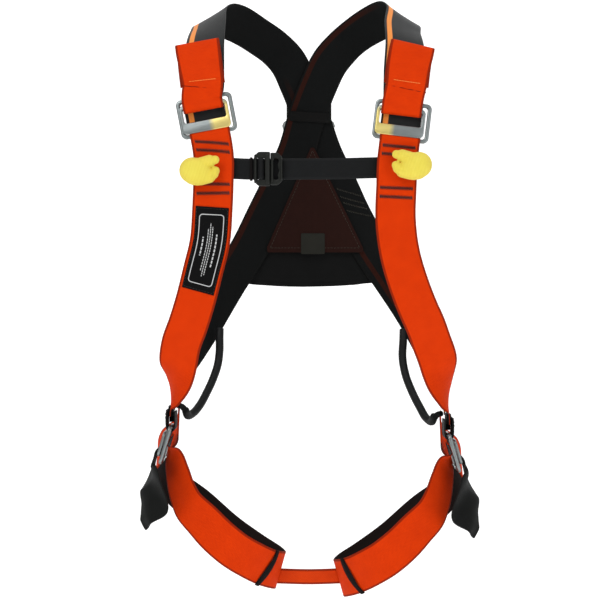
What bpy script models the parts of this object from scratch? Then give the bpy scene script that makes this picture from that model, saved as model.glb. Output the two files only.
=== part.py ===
# Full-body safety harness, laid out as it hangs when worn.
# Metres, +Z up, front of the harness towards -Y, wearer's right on -X.
# Origin: midway between the two straps where they pass over the shoulders.
import bpy, bmesh, math
from mathutils import Vector, Matrix

# ---------------------------------------------------------------- dimensions
WEB_W = 0.045        # main webbing
WEB_T = 0.0018
CHEST_STRAP_W = 0.0235   # chest connecting strap
SEAT_STRAP_W = 0.018     # strap joining the two leg loops
LABEL_W = 0.0370
GAP = 0.0005

LARGE_W, LARGE_H, LARGE_BAR, LARGE_T = 0.063, 0.045, 0.0045, 0.0040
SMALL_W, SMALL_H, SMALL_SIDE, SMALL_T = 0.0545, 0.0285, 0.0038, 0.0035
SMALL_LOW, SMALL_TOP = 0.0080, 0.0050
WRAP_R = 0.0044      # webbing centreline round the large frame's bar
TURN_R = SMALL_T / 2 + 0.00105 + WEB_T / 2   # leaves room for the small frame to tilt

PAD_Y, PAD_T = 0.1085, 0.0045
RING_ROD = 0.0035
RING_HINGE = (0.0005, 0.1225, -0.126)
HIP_Y = -0.035
HIP_AXIS_Z = -0.477

BLACK = (0.02, 0.022, 0.024)
ORANGE = (0.72, 0.055, 0.008)
YELLOW = (0.9, 0.78, 0.06)
STEEL = (0.62, 0.64, 0.63)
PLASTIC = (0.03, 0.032, 0.028)

for o in list(bpy.data.objects):
    bpy.data.objects.remove(o, do_unlink=True)
parts = bpy.data.collections.new("safety_harness")
cutters = bpy.data.collections.new("cutters")
bpy.context.scene.collection.children.link(parts)
bpy.context.scene.collection.children.link(cutters)


def material(name, color, rough, metal=0.0):
    m = bpy.data.materials.new(name)
    m.use_nodes = True
    b = m.node_tree.nodes["Principled BSDF"]
    b.inputs["Base Color"].default_value = (*color, 1)
    b.inputs["Roughness"].default_value = rough
    b.inputs["Metallic"].default_value = metal
    return m


def mm(rows):
    """Route rows given in millimetres (x, y, z, outward normal) to metres."""
    return [(r[0] / 1000, r[1] / 1000, r[2] / 1000) + tuple(r[3:]) for r in rows]


def spline(rows, step):
    """Smooth curve through the rows, with chord-length spacing."""
    p = [list(r) for r in rows]
    t = [0.0]
    for a, b in zip(p, p[1:]):
        t.append(t[-1] + max(math.dist(a[:3], b[:3]), 1e-5))
    m = []
    for i in range(len(p)):
        if 0 < i < len(p) - 1:
            h0, h1 = t[i] - t[i - 1], t[i + 1] - t[i]
            m.append([((c - b) / h1 * h0 + (b - a) / h0 * h1) / (h0 + h1)
                      for a, b, c in zip(p[i - 1], p[i], p[i + 1])])
        else:
            j, k = (0, 1) if i == 0 else (i - 1, i)
            m.append([(b - a) / (t[k] - t[j]) for a, b in zip(p[j], p[k])])
    out = []
    for i in range(len(p) - 1):
        h = t[i + 1] - t[i]
        n = max(1, round(h / step))
        for k in range(n):
            u = k / n
            a, b = 2 * u**3 - 3 * u**2 + 1, u**3 - 2 * u**2 + u
            c, d = -2 * u**3 + 3 * u**2, u**3 - u**2
            out.append([a * p[i][q] + b * h * m[i][q] + c * p[i + 1][q] + d * h * m[i + 1][q]
                        for q in range(len(p[i]))])
    out.append(p[-1])
    return out


def frames(rows, step):
    """Centre, tangent, across and outward vectors along a route."""
    s = spline(rows, step)
    c = [Vector(r[:3]) for r in s]
    out = []
    for i, r in enumerate(s):
        tan = (c[min(i + 1, len(c) - 1)] - c[max(i - 1, 0)]).normalized()
        n = Vector(r[3:6])
        n = (n - tan * n.dot(tan)).normalized()
        out.append((c[i], tan, n.cross(tan).normalized(), n))
    return out


def link(ob, mat):
    for c in list(ob.users_collection):
        c.objects.unlink(ob)
    parts.objects.link(ob)
    ob.data.materials.clear()
    ob.data.materials.append(mat)
    return ob


def ribbon(name, rows, mat, width=WEB_W, thick=WEB_T, step=0.016, offset=0.0, shift=0.0, across=1):
    """Flat webbing: a grid laid along the route, thickened both ways."""
    bm = bmesh.new()
    fr = frames(rows, step)
    n = len(fr) - 1
    res = bmesh.ops.create_grid(bm, x_segments=n, y_segments=across, size=1.0)
    for v in res["verts"]:
        i = round((v.co.x + 1) / 2 * n)
        c, tan, w, nor = fr[i]
        v.co = c + w * (shift + v.co.y * width / 2) + nor * offset
    me = bpy.data.meshes.new(name)
    bm.normal_update()
    bm.to_mesh(me)
    bm.free()
    ob = bpy.data.objects.new(name, me)
    link(ob, mat)
    s = ob.modifiers.new("thickness", "SOLIDIFY")
    s.thickness = thick
    s.offset = 0
    return ob


def round_rect(w, h, r, cx=0.0, cy=0.0, n=4):
    pts = []
    for qx, qy, a0 in ((1, 1, 0), (-1, 1, 90), (-1, -1, 180), (1, -1, 270)):
        for k in range(n + 1):
            a = math.radians(a0 + 90 * k / n)
            pts.append((cx + qx * (w / 2 - r) + r * math.cos(a), cy + qy * (h / 2 - r) + r * math.sin(a)))
    return pts


def plate(name, outlines, thick, mat, matrix, edge=0.0):
    """Flat plate from 2D outlines; the first is the outside, the rest are openings."""
    cu = bpy.data.curves.new(name, "CURVE")
    cu.dimensions = "2D"
    cu.fill_mode = "BOTH"
    cu.extrude = thick / 2 - edge
    cu.bevel_depth = edge
    cu.bevel_resolution = 0
    cu.offset = -edge
    for pts in outlines:
        s = cu.splines.new("POLY")
        s.points.add(len(pts) - 1)
        for q, (x, y) in zip(s.points, pts):
            q.co = (x, y, 0, 1)
        s.use_cyclic_u = True
    tmp = bpy.data.objects.new(name + "_outline", cu)
    parts.objects.link(tmp)
    dg = bpy.context.evaluated_depsgraph_get()
    dg.update()
    me = bpy.data.meshes.new_from_object(tmp.evaluated_get(dg))
    bpy.data.objects.remove(tmp, do_unlink=True)
    bm = bmesh.new()
    bm.from_mesh(me)
    bmesh.ops.remove_doubles(bm, verts=bm.verts, dist=0.00001)
    bmesh.ops.recalc_face_normals(bm, faces=bm.faces)
    bm.to_mesh(me)
    bm.free()
    me.name = name
    ob = bpy.data.objects.new(name, me)
    ob.matrix_world = matrix
    return link(ob, mat)


def tube(name, pts, radius, mat, cyclic=False, res=2):
    cu = bpy.data.curves.new(name, "CURVE")
    cu.dimensions = "3D"
    cu.bevel_depth = radius
    cu.bevel_resolution = res
    cu.use_fill_caps = not cyclic
    s = cu.splines.new("POLY")
    s.points.add(len(pts) - 1)
    for q, p in zip(s.points, pts):
        q.co = (*p[:3], 1)
    s.use_cyclic_u = cyclic
    ob = bpy.data.objects.new(name, cu)
    return link(ob, mat)


def basis(origin, across, up, out):
    m = Matrix((across, up, out)).transposed().to_4x4()
    m.translation = origin
    return m


def local(m, rows):
    """Rows (across, up, out, normal across, up, out) in mm in an adjuster's own frame."""
    r = m.to_3x3()
    return [tuple(m @ (Vector(q[:3]) / 1000)) + tuple(r @ Vector(q[3:6])) for q in rows]


def mirror(rows, dx=0.0, dz=0.0):
    return [(-r[0] + dx, r[1], r[2] + dz, -r[3], r[4], r[5]) if len(r) > 3 else (-r[0] + dx, r[1], r[2] + dz)
            for r in rows]


# ---------------------------------------------------------------- routes (mm)
# Each row: x, y, z of the webbing's centreline, then the way its outer face looks.
STRAP_L = [(-117, -86.5, -101, -.05, -1, .17), (-117, -82, -83, -.08, -1, .22), (-117, -66, -54, -.2, -.9, .45),
           (-115, -36, -29, -.38, -.55, .75), (-112, -4, -14, -.5, 0, .87), (-97, 24, -13, -.62, .4, .6),
           (-78, 48, -18, -.6, .68, .32), (-59, 68, -28, -.5, .82, .15), (-40, 84, -40, -.25, .95, .05),
           (-24, 99, -56, 0, 1, 0), (-12, 105.6, -81, 0, 1, 0), (1, 106.7, -114, 0, 1, 0), (19, 106.7, -166, 0, 1, 0),
           (36, 106.7, -201, 0, 1, 0), (52, 106.7, -236, 0, 1, 0), (74, 104.5, -276, .05, 1, 0), (101, 95, -318, .35, .93, 0),
           (120, 83, -350, .55, .83, 0), (134, 67, -380, .72, .68, 0), (145, 45, -408, .87, .5, 0),
           (153, 22, -427, .98, .18, 0), (156.3, -2, -442, 1, .03, 0), (156.3, -22, -452, 1, 0, 0)]
STRAP_R = [(105.5, -86.5, -104, .05, -1, .17), (106, -81.5, -84, .08, -1, .22), (108, -66, -54, .2, -.9, .45),
           (107, -36, -30, .38, -.55, .75), (108, -4, -13, .5, 0, .87), (95, 24, -10, .62, .4, .6),
           (77, 50, -15, .6, .68, .32), (59, 72, -24, .5, .82, .15), (41, 89, -38, .25, .95, .05),
           (26, 95.5, -55, 0, 1, 0), (13, 101.2, -81, 0, 1, 0), (0, 103.8, -114, 0, 1, 0), (-16, 104, -166, 0, 1, 0),
           (-33, 104, -201, 0, 1, 0), (-50, 104, -235, 0, 1, 0), (-70, 103.6, -276, -.05, 1, 0),
           (-96, 94, -320, -.35, .93, 0), (-112, 82, -351, -.55, .83, 0), (-126, 66, -379, -.72, .68, 0),
           (-141, 44, -406, -.87, .5, 0), (-150.5, 22, -422, -.98, .18, 0), (-154.1, -2, -437, -1, .03, 0), (-154.1, -22, -446, -1, 0, 0)]
CHEST_L = [(-106, -102, -179, -.05, -1, .05), (-106, -104, -209, -.05, -1, 0), (-107, -104.5, -237, -.05, -1, 0),
           (-110, -104, -276, -.08, -1, -.03), (-118, -101, -309, -.1, -1, -.08), (-126, -96, -340, -.12, -1, -.1),
           (-135, -87, -368, -.12, -1, -.2), (-143, -77, -389, -.15, -1, -.3), (-147, -66, -409, -.25, -.95, -.35),
           (-149, -54, -428, -.62, -.75, -.2), (-152.5, -43.5, -444, -.92, -.38, -.05), (-156, -37.2, -456, -1, -.06, 0),
           (-156.3, -35.3, -465, -1, 0, 0), (-156.3, -35, -471, -1, 0, 0)]
CHEST_R = [(98, -102, -186, .05, -1, .05), (97, -104, -211, .05, -1, 0), (96, -104.5, -251, .05, -1, 0),
           (100, -104, -285, .08, -1, -.03), (113, -101, -329, .1, -1, -.08), (122, -95, -351, .12, -1, -.1),
           (130, -87, -368, .12, -1, -.2), (137, -77, -386, .15, -1, -.3), (145, -66, -407, .25, -.95, -.35),
           (149.5, -54, -428, .62, -.75, -.2), (154.5, -43.5, -447, .92, -.38, -.05), (158.2, -37.2, -461, 1, -.06, 0),
           (158.5, -35.3, -473, 1, 0, 0), (158.5, -35, -480, 1, 0, 0)]
LEG_L = [(-154, -37, -519, -.9, -.42, .1), (-149.5, -43, -536, -.78, -.62, 0), (-143.5, -53, -556, -.6, -.78, -.15),
         (-136, -63, -571, -.42, -.88, -.2), (-119, -72, -588, -.2, -.96, -.2), (-102, -76, -605, -.05, -.97, -.2),
         (-83, -73, -621, .1, -.96, -.25), (-65, -62, -633, .3, -.9, -.3), (-49, -43, -643, .5, -.8, -.33),
         (-37, -20, -649, .8, -.5, -.3), (-33, 2, -651.5, .9, -.05, -.25), (-41, 26, -648, .75, .5, -.3),
         (-66, 50, -635, .4, .85, -.25), (-99, 65, -613, .05, .97, -.2), (-131, 67, -584, -.35, .9, -.15),
         (-166, 55, -552, -.86, .5, -.08), (-177, 41, -530, -.98, .05, .02), (-170, 24, -509, -.96, -.22, .1),
         (-152.7, 8, -491, -1, .03, 0), (-149.7, -8, -479, -1, 0, 0), (-149.7, -11, -477, -1, 0, 0)]
LEG_TAIL_L = [(-178.6, -37, -532, -.98, -.06, .1), (-178.5, -47, -547, -.82, -.57, 0), (-176, -59, -566, -.7, -.71, 0),
              (-175.5, -65, -582, -.68, -.73, 0), (-176, -66, -592, -.68, -.73, 0)]
TAIL_L = [(-118, -103, -101, 0, -1, .1), (-121, -97, -80, -.05, -1, .2), (-125, -85, -54, -.1, -.95, .3)]
TAIL_R = [(108, -103, -101, 0, -1, .1), (111, -97, -80, .05, -1, .2), (116, -85, -56, .1, -.95, .3)]
GEAR_L = [(-104.5, 66, -374), (-105, 62, -385), (-105, 61, -399), (-107, 57, -416), (-112, 49, -432), (-119, 36, -448),
          (-127, 20, -463), (-134, 6, -471), (-139.4, -5, -473), (-141.6, -13, -466)]
GEAR_R = [(112, 66, -375), (112, 62, -386), (111, 60, -407), (114, 52, -427), (121, 38, -447), (129, 20, -464),
          (136.5, 6, -477), (142.0, -5, -480), (144.0, -13, -473)]
RIGHT_HIP = (2.2, -9.2)   # the wearer's left hip hangs a little lower and further out


def adjuster(side, place, origin, across, up, out, mat_small):
    """Pass-through adjuster: the small frame sits in front of the large one."""
    m = basis(Vector(origin) / 1000, Vector(across), Vector(up), Vector(out))
    plate(f"{place}_large_frame_{side}",
          [round_rect(LARGE_W, LARGE_H, 0.006), round_rect(LARGE_W - 2 * LARGE_BAR, LARGE_H - 2 * LARGE_BAR, 0.0025)],
          LARGE_T, material(f"{place}_large_frame_{side}", STEEL, 0.3, 1.0), m, 0.0006)
    hole_h = SMALL_H - SMALL_LOW - SMALL_TOP
    plate(f"{place}_small_frame_{side}",
          [round_rect(SMALL_W, SMALL_H, 0.006),
           round_rect(SMALL_W - 2 * SMALL_SIDE, hole_h, 0.002, 0, (SMALL_LOW - SMALL_TOP) / 2)],
          SMALL_T, mat_small, m @ Matrix.Translation((-0.002, 0.0004, 0.0044)), 0.0006)
    return m


def unit(v):
    v = Vector(v).normalized()
    return tuple(v)


def adjuster_axes(turn_deg, out):
    """Across and up axes for a frame facing `out`, turned in its own plane."""
    n = Vector(out).normalized()
    side = Vector((0, 0, 1)).cross(n).normalized()
    up = n.cross(side)
    if up.z < 0:
        up = -up
    a = math.radians(turn_deg)
    x = side * math.cos(a) + up * math.sin(a)
    u = up * math.cos(a) - side * math.sin(a)
    return x, u, n


# webbing over the large frame's near bar, in the adjuster's frame (mm)
BAR_U = -(LARGE_H - LARGE_BAR) / 2 * 1000
R_W = WRAP_R * 1000
LOOP = [(0, BAR_U - 9, -1.6, 0, 0, -1), (0, BAR_U - 3.5, -R_W + .4, 0, -.2, -1), (0, BAR_U, -R_W, 0, 0, -1)]
LOOP += [(0, BAR_U + R_W * math.sin(math.radians(a)), -R_W * math.cos(math.radians(a)),
          0, math.sin(math.radians(a)), -math.cos(math.radians(a))) for a in (36, 72, 108, 144)]
LOOP += [(0, BAR_U, R_W, 0, 0, 1), (0, BAR_U - 4.5, R_W - 1.0, 0, .2, 1), (0, BAR_U - 11, 1.5, 0, 0, 1)]
# adjustable webbing round the small frame's far bar
TOP_U = (SMALL_H / 2 - SMALL_TOP) * 1000 + .4 + .2
R_T = TURN_R * 1000
TURN = [(-2, TOP_U + 6.5, 4.4 - R_T, 0, 0, -1), (-2, TOP_U, 4.4 - R_T, 0, 0, -1)]
TURN += [(-2, TOP_U - R_T * math.sin(math.radians(a)), 4.4 - R_T * math.cos(math.radians(a)),
          0, -math.sin(math.radians(a)), -math.cos(math.radians(a))) for a in (36, 72, 108, 144)]
TURN += [(-2, TOP_U, 4.5 + R_T, 0, 0, 1), (-2, TOP_U + 7, 4.6 + R_T, 0, 0, 1)]

# ---------------------------------------------------------------- shoulders and chest
small_mat = {s: material("shoulder_small_frame_" + s, STEEL, 0.25, 1.0) for s in ("left", "right")}
for side, org, turn, out, strap, chest, tail in (
        ("left", (-113.9, -96, -135), 11, (0, -1, .14), STRAP_L, CHEST_L, TAIL_L),
        ("right", (103.4, -96, -141.3), -7, (0, -1, .14), STRAP_R, CHEST_R, TAIL_R)):
    x, u, n = adjuster_axes(turn, out)
    m = adjuster(side, "shoulder", org, x, u, n, small_mat[side])
    # shoulder strap: from behind the adjuster, over the shoulder, across the back to the other hip
    ribbon("shoulder_strap_" + side, local(m, [(-1, -11, -3.6, 0, 0, 1), (-1, 6, -3.6, 0, 0, 1), (-1, 22, -3.9, 0, 0, 1)]) + mm(strap),
           material("shoulder_strap_" + side, BLACK, 0.85))
    # its tail: turned round the small frame and folded back on itself as a stop
    t = local(m, TURN) + mm(tail)
    end = Vector(t[-1][:3])
    nor = Vector(t[-1][3:6]).normalized()
    back = [(*(Vector(r[:3]) - Vector(r[3:6]).normalized() * 0.0042), *(-Vector(r[3:6]))) for r in t[-3:]][::-1]
    up = (Vector(t[-1][:3]) - Vector(t[-2][:3])).normalized()
    fold = [(*(end - nor * 0.0021 + (nor * math.cos(a) + up * math.sin(a)) * 0.0021),
             *(nor * math.cos(a) + up * math.sin(a))) for a in (math.radians(k) for k in (45, 90, 135))]
    ribbon("shoulder_tail_" + side, t + fold + back[:2] + [tuple(p * .75 + q * .25 for p, q in zip(back[1], back[2]))],
           material("shoulder_tail_" + side, ORANGE, 0.7), step=0.014)
    # chest strap: rear leg, round the large frame's lower bar, then down the front to the hip
    front = mm(chest)
    rear = [(r[0], r[1] + 0.0026, r[2], -r[3], -r[4], -r[5]) for r in front[:2]][::-1]
    whole = rear + local(m, LOOP) + front
    ribbon("chest_strap_" + side, whole, material("chest_strap_" + side, ORANGE, 0.7))

# identification label on the wearer's right chest strap
sel = mm(CHEST_L)[2:6]
ribbon("id_label", sel[:3] + [tuple(p * .68 + q * .32 for p, q in zip(sel[3], sel[2]))],
       material("id_label", BLACK, 0.6), width=LABEL_W, thick=0.0008, offset=WEB_T / 2 + 0.0011)

# chest connecting strap, one length each side of its buckle
for side, x0, x1 in (("left", -0.112, -0.0665), ("right", -0.0225, 0.110)):
    out_x, in_x = (x0, x1) if side == "left" else (x1, x0)
    rows = [(out_x, -0.0962, -0.192, 0, -1, 0), (out_x * .7 + in_x * .3, -0.0962, -0.1928, 0, -1, 0),
            (out_x * .3 + in_x * .7, -0.0975, -0.1943, 0, -1, 0), (in_x, -0.0985, -0.1945, 0, -1, 0)]
    ribbon("sternum_strap_" + side, rows, material("sternum_strap_" + side, BLACK, 0.8), width=CHEST_STRAP_W,
           thick=0.0016, step=0.03)
# two-piece buckle: the ladder frame on one strap hooks over the bar on the other
bm_ = basis(Vector((-0.0522, -0.1000, -0.1945)), Vector((1, 0, 0)), Vector((0, 0, 1)), Vector((0, -1, 0)))
plate("sternum_buckle_frame", [round_rect(0.018, 0.038, 0.005), round_rect(0.0035, 0.026, 0.0012, -0.003),
                               round_rect(0.0035, 0.026, 0.0012, 0.0035)],
      0.0075, material("sternum_buckle_frame", PLASTIC, 0.4), bm_, 0.001)
plate("sternum_buckle_hook", [round_rect(0.0135, 0.034, 0.004), round_rect(0.0038, 0.025, 0.0012, 0.001)],
      0.0070, material("sternum_buckle_hook", PLASTIC, 0.4), bm_ @ Matrix.Translation((0.0164, 0, 0)), 0.001)

# rolled webbing loops on the chest, folded against the strap
for side, x0, z0, d in (("left", -0.1000, -0.1965, -1), ("right", 0.0940, -0.1905, 1)):
    r, half = 0.0083, 0.0088
    y0 = -0.1160
    reach = 0.0265
    pts = [(x0, y0, z0 + half), (x0 + d * reach * .5, y0 - .0015, z0 + half)]
    pts += [(x0 + d * (reach + half * math.sin(math.radians(a))) if 0 < a < 180 else x0 + d * reach,
             y0 - .001, z0 + half * math.cos(math.radians(a)) - .001) for a in (0, 30, 60, 90, 120, 150, 180)]
    pts += [(x0 + d * reach * .5, y0 - .0015, z0 - half - .001), (x0, y0, z0 - half - .0015)]
    tube("sternal_loop_" + side, pts, r, material("sternal_loop_" + side, YELLOW, 0.6))

# ---------------------------------------------------------------- back
pad_m = basis(Vector((0, PAD_Y + PAD_T / 2, 0)), Vector((1, 0, 0)), Vector((0, 0, 1)), Vector((0, -1, 0)))
pad = [(-12, -160), (15, -160), (46, -206), (74, -256), (97, -292), (91, -318), (45, -323), (-8, -324.5), (-50, -323),
       (-82, -320), (-91, -292), (-68, -256), (-42, -206)]
plate("back_pad", [[(a / 1000, b / 1000) for a, b in reversed(pad)]], PAD_T, material("back_pad", BLACK, 0.9), pad_m, 0.001)
panel_m = basis(Vector((0, 0.1016, 0)), Vector((1, 0, 0)), Vector((0, 0, 1)), Vector((0, -1, 0)))
panel = [(7, -157), (66, -278), (65, -283), (-49, -283), (-50, -278), (3, -157)]
plate("back_panel", [[(a / 1000, b / 1000) for a, b in reversed(panel)]], 0.0010,
      material("back_panel", (0.3, 0.03, 0.01), 0.8), panel_m)
plate("back_label", [round_rect(0.024, 0.022, 0.002, 0.0045, -0.2755)], 0.0006, material("back_label", (.35, .35, .33), 0.6),
      basis(Vector((0, 0.1004, 0)), Vector((1, 0, 0)), Vector((0, 0, 1)), Vector((0, -1, 0))))
# dorsal plate behind the crossing, with the attachment ring hanging on it
dp = basis(Vector((0.0008, 0.1100, -0.1200)), Vector((1, 0, 0)), Vector((0, 0, 1)), Vector((0, -1, 0)))
plate("dorsal_plate", [round_rect(0.054, 0.058, 0.008), round_rect(0.034, 0.004, 0.0015, 0, 0.021),
                       round_rect(0.034, 0.004, 0.0015, 0, -0.021)],
      0.0030, material("dorsal_plate", PLASTIC, 0.5), dp, 0.0006)
hx, hy, hz = RING_HINGE
ring = [(hx - 0.024, hy, hz), (hx - 0.009, hy, hz), (hx + 0.009, hy, hz), (hx + 0.024, hy, hz), (hx + 0.0285, hy, hz - 0.0045)]
ring += [(hx + 0.029 * math.cos(math.radians(a)), hy, hz - 0.026 + 0.029 * math.sin(math.radians(a)) * 1.25)
         for a in range(0, -181, -20)]
ring += [(hx - 0.0285, hy, hz - 0.0045)]
tube("dorsal_ring", [tuple(p) for p in ring], RING_ROD, material("dorsal_ring", STEEL, 0.3, 1.0), cyclic=True)
bpy.ops.mesh.primitive_cube_add(size=1, location=(hx, hy - 0.0010, hz))
keeper = bpy.context.object
keeper.name = keeper.data.name = "ring_keeper"
keeper.scale = (0.026, 0.0175, 0.0145)
bpy.ops.object.transform_apply(location=False, rotation=False, scale=True)
link(keeper, material("ring_keeper", BLACK, 0.8))
bpy.ops.mesh.primitive_cylinder_add(vertices=24, radius=RING_ROD + 0.0008, depth=0.05, location=(hx, hy, hz),
                                    rotation=(0, math.pi / 2, 0))
cut = bpy.context.object
cut.name = "ring_bore_cutter"
for c in list(cut.users_collection):
    c.objects.unlink(cut)
cutters.objects.link(cut)
cut.hide_render = True
cut.display_type = "WIRE"
bo = keeper.modifiers.new("bore", "BOOLEAN")
bo.operation = "DIFFERENCE"
bo.object = cut
bv = keeper.modifiers.new("edge", "BEVEL")
bv.width = 0.0015
bv.segments = 1
bv.limit_method = "ANGLE"
bv.angle_limit = math.radians(60)

# ---------------------------------------------------------------- gear loops
for side, rows in (("left", GEAR_L), ("right", GEAR_R)):
    pts = spline(mm(rows), 0.012)
    tube("gear_loop_" + side, pts, 0.0047, material("gear_loop_" + side, BLACK, 0.7))

# ---------------------------------------------------------------- hips and leg loops
for side in ("left", "right"):
    sx = -1 if side == "left" else 1
    dx, dz = (0.0, 0.0) if side == "left" else RIGHT_HIP

    def hip(rows):
        return mm(rows) if side == "left" else mm(mirror(rows, dx, dz))
    out = Vector((sx * .961, 0, .277))
    up = Vector((sx * .277, 0, -.961))          # towards the leg strap
    across = up.cross(out)
    org = (sx * 161.9 + dx, HIP_Y * 1000, -503.4 + dz)
    m = adjuster(side, "hip", org, across, up, out, material("hip_small_frame_" + side, STEEL, 0.25, 1.0))
    # hip loop: both legs stand upright either side of the chest strap's end
    bar = m @ Vector((0, BAR_U / 1000, 0))
    wrap = [(bar.x + sx * WRAP_R * math.cos(math.radians(a)), HIP_Y, bar.z - WRAP_R * math.sin(math.radians(a)),
             sx * math.cos(math.radians(a)), 0, -math.sin(math.radians(a))) for a in range(0, 181, 36)]
    top = -0.4645 + dz / 1000
    legs = [(wrap[0][0], HIP_Y, top, sx, 0, 0)] + wrap + [(wrap[-1][0], HIP_Y, top - 0.002, -sx, 0, 0)]
    ribbon("hip_loop_" + side, legs, material("hip_loop_" + side, BLACK, 0.85))
    ribbon("leg_strap_" + side, local(m, [(0, -11, -3.5, 0, 0, 1), (0, 3, -3.5, 0, 0, 1)]) + hip(LEG_L),
           material("leg_strap_" + side, ORANGE, 0.7), step=0.020)
    t = local(m, TURN) + hip(LEG_TAIL_L)
    ribbon("leg_tail_" + side, t, material("leg_tail_" + side, BLACK, 0.85))
    # keeper band round the strap at the crotch, open at its seam
    k = hip([(-50.5, -45, -642.3, .5, -.8, -.33), (-46.5, -39, -644.6, .55, -.74, -.33)])
    ribbon("leg_keeper_" + side, k, material("leg_keeper_" + side, BLACK, 0.7), width=0.048, thick=0.0012,
           offset=WEB_T / 2 + 0.0016, step=0.01)

x1 = (33 + RIGHT_HIP[0]) / 1000 - 0.0055
z1 = -0.6555 + RIGHT_HIP[1] / 1000
ribbon("sub_pelvic_strap", [(-0.0285, 0.004, -0.6590, 0, -1, -.1), (0.0, 0.004, -0.6600, 0, -1, -.1),
                            (x1, 0.004, -0.6590, 0, -1, -.1)],
       material("sub_pelvic_strap", ORANGE, 0.7), width=SEAT_STRAP_W, thick=0.0016)

for ob in parts.objects:
    if ob.type == "MESH" and ("frame" in ob.name or "plate" in ob.name):
        ob.data.shade_smooth()
        ob.data.set_sharp_from_angle(angle=math.radians(35))
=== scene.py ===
# Full-body safety harness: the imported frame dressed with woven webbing, stitching, steel and padding.
import bpy, bmesh, math
from mathutils import Vector, Matrix


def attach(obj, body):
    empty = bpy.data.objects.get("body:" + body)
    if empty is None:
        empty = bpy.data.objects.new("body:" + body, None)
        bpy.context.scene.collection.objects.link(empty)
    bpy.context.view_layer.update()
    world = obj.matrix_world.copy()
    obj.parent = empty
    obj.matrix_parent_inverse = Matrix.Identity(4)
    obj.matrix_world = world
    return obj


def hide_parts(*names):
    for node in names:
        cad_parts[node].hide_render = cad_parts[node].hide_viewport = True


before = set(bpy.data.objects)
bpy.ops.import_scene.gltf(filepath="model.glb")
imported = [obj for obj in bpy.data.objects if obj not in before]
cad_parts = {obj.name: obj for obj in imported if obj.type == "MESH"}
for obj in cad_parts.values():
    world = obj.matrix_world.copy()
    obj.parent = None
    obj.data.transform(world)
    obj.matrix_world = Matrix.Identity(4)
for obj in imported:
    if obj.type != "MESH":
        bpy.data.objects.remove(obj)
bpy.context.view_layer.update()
scene = bpy.context.scene

# ---------------------------------------------------------------- camera
cam = bpy.data.objects.new("camera", bpy.data.cameras.new("camera"))
scene.collection.objects.link(cam)
cam.location = (-0.010, -2.600, -0.340)
cam.rotation_euler = (math.radians(90), 0, 0)
cam.data.sensor_width = 36.0
cam.data.lens = 135.12
cam.data.clip_end = 30
scene.camera = cam
scene.view_settings.view_transform = "Standard"
scene.view_settings.look = "None"

# ---------------------------------------------------------------- dimensions shared with the CAD (metres)
WEB_W = 0.045        # main webbing
WEB_T = 0.0018
CHEST_STRAP_W = 0.0235   # chest connecting strap
SEAT_STRAP_W = 0.018     # strap joining the two leg loops
LABEL_W = 0.0370
GAP = 0.0005

LARGE_W, LARGE_H, LARGE_BAR, LARGE_T = 0.063, 0.045, 0.0045, 0.0040
SMALL_W, SMALL_H, SMALL_SIDE, SMALL_T = 0.0545, 0.0285, 0.0038, 0.0035
SMALL_LOW, SMALL_TOP = 0.0080, 0.0050
WRAP_R = 0.0044      # webbing centreline round the large frame's bar
TURN_R = SMALL_T / 2 + 0.00105 + WEB_T / 2   # leaves room for the small frame to tilt

PAD_Y, PAD_T = 0.1085, 0.0045
RING_ROD = 0.0035
RING_HINGE = (0.0005, 0.1225, -0.126)
HIP_Y = -0.035
HIP_AXIS_Z = -0.477


def mm(rows):
    """Route rows given in millimetres (x, y, z, outward normal) to metres."""
    return [(r[0] / 1000, r[1] / 1000, r[2] / 1000) + tuple(r[3:]) for r in rows]


def spline(rows, step):
    """Smooth curve through the rows, with chord-length spacing."""
    p = [list(r) for r in rows]
    t = [0.0]
    for a, b in zip(p, p[1:]):
        t.append(t[-1] + max(math.dist(a[:3], b[:3]), 1e-5))
    m = []
    for i in range(len(p)):
        if 0 < i < len(p) - 1:
            h0, h1 = t[i] - t[i - 1], t[i + 1] - t[i]
            m.append([((c - b) / h1 * h0 + (b - a) / h0 * h1) / (h0 + h1)
                      for a, b, c in zip(p[i - 1], p[i], p[i + 1])])
        else:
            j, k = (0, 1) if i == 0 else (i - 1, i)
            m.append([(b - a) / (t[k] - t[j]) for a, b in zip(p[j], p[k])])
    out = []
    for i in range(len(p) - 1):
        h = t[i + 1] - t[i]
        n = max(1, round(h / step))
        for k in range(n):
            u = k / n
            a, b = 2 * u**3 - 3 * u**2 + 1, u**3 - 2 * u**2 + u
            c, d = -2 * u**3 + 3 * u**2, u**3 - u**2
            out.append([a * p[i][q] + b * h * m[i][q] + c * p[i + 1][q] + d * h * m[i + 1][q]
                        for q in range(len(p[i]))])
    out.append(p[-1])
    return out


def frames(rows, step):
    """Centre, tangent, across and outward vectors along a route."""
    s = spline(rows, step)
    c = [Vector(r[:3]) for r in s]
    out = []
    for i, r in enumerate(s):
        tan = (c[min(i + 1, len(c) - 1)] - c[max(i - 1, 0)]).normalized()
        n = Vector(r[3:6])
        n = (n - tan * n.dot(tan)).normalized()
        out.append((c[i], tan, n.cross(tan).normalized(), n))
    return out


def basis(origin, across, up, out):
    m = Matrix((across, up, out)).transposed().to_4x4()
    m.translation = origin
    return m


def local(m, rows):
    """Rows (across, up, out, normal across, up, out) in mm in an adjuster's own frame."""
    r = m.to_3x3()
    return [tuple(m @ (Vector(q[:3]) / 1000)) + tuple(r @ Vector(q[3:6])) for q in rows]


def mirror(rows, dx=0.0, dz=0.0):
    return [(-r[0] + dx, r[1], r[2] + dz, -r[3], r[4], r[5]) if len(r) > 3 else (-r[0] + dx, r[1], r[2] + dz)
            for r in rows]


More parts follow.
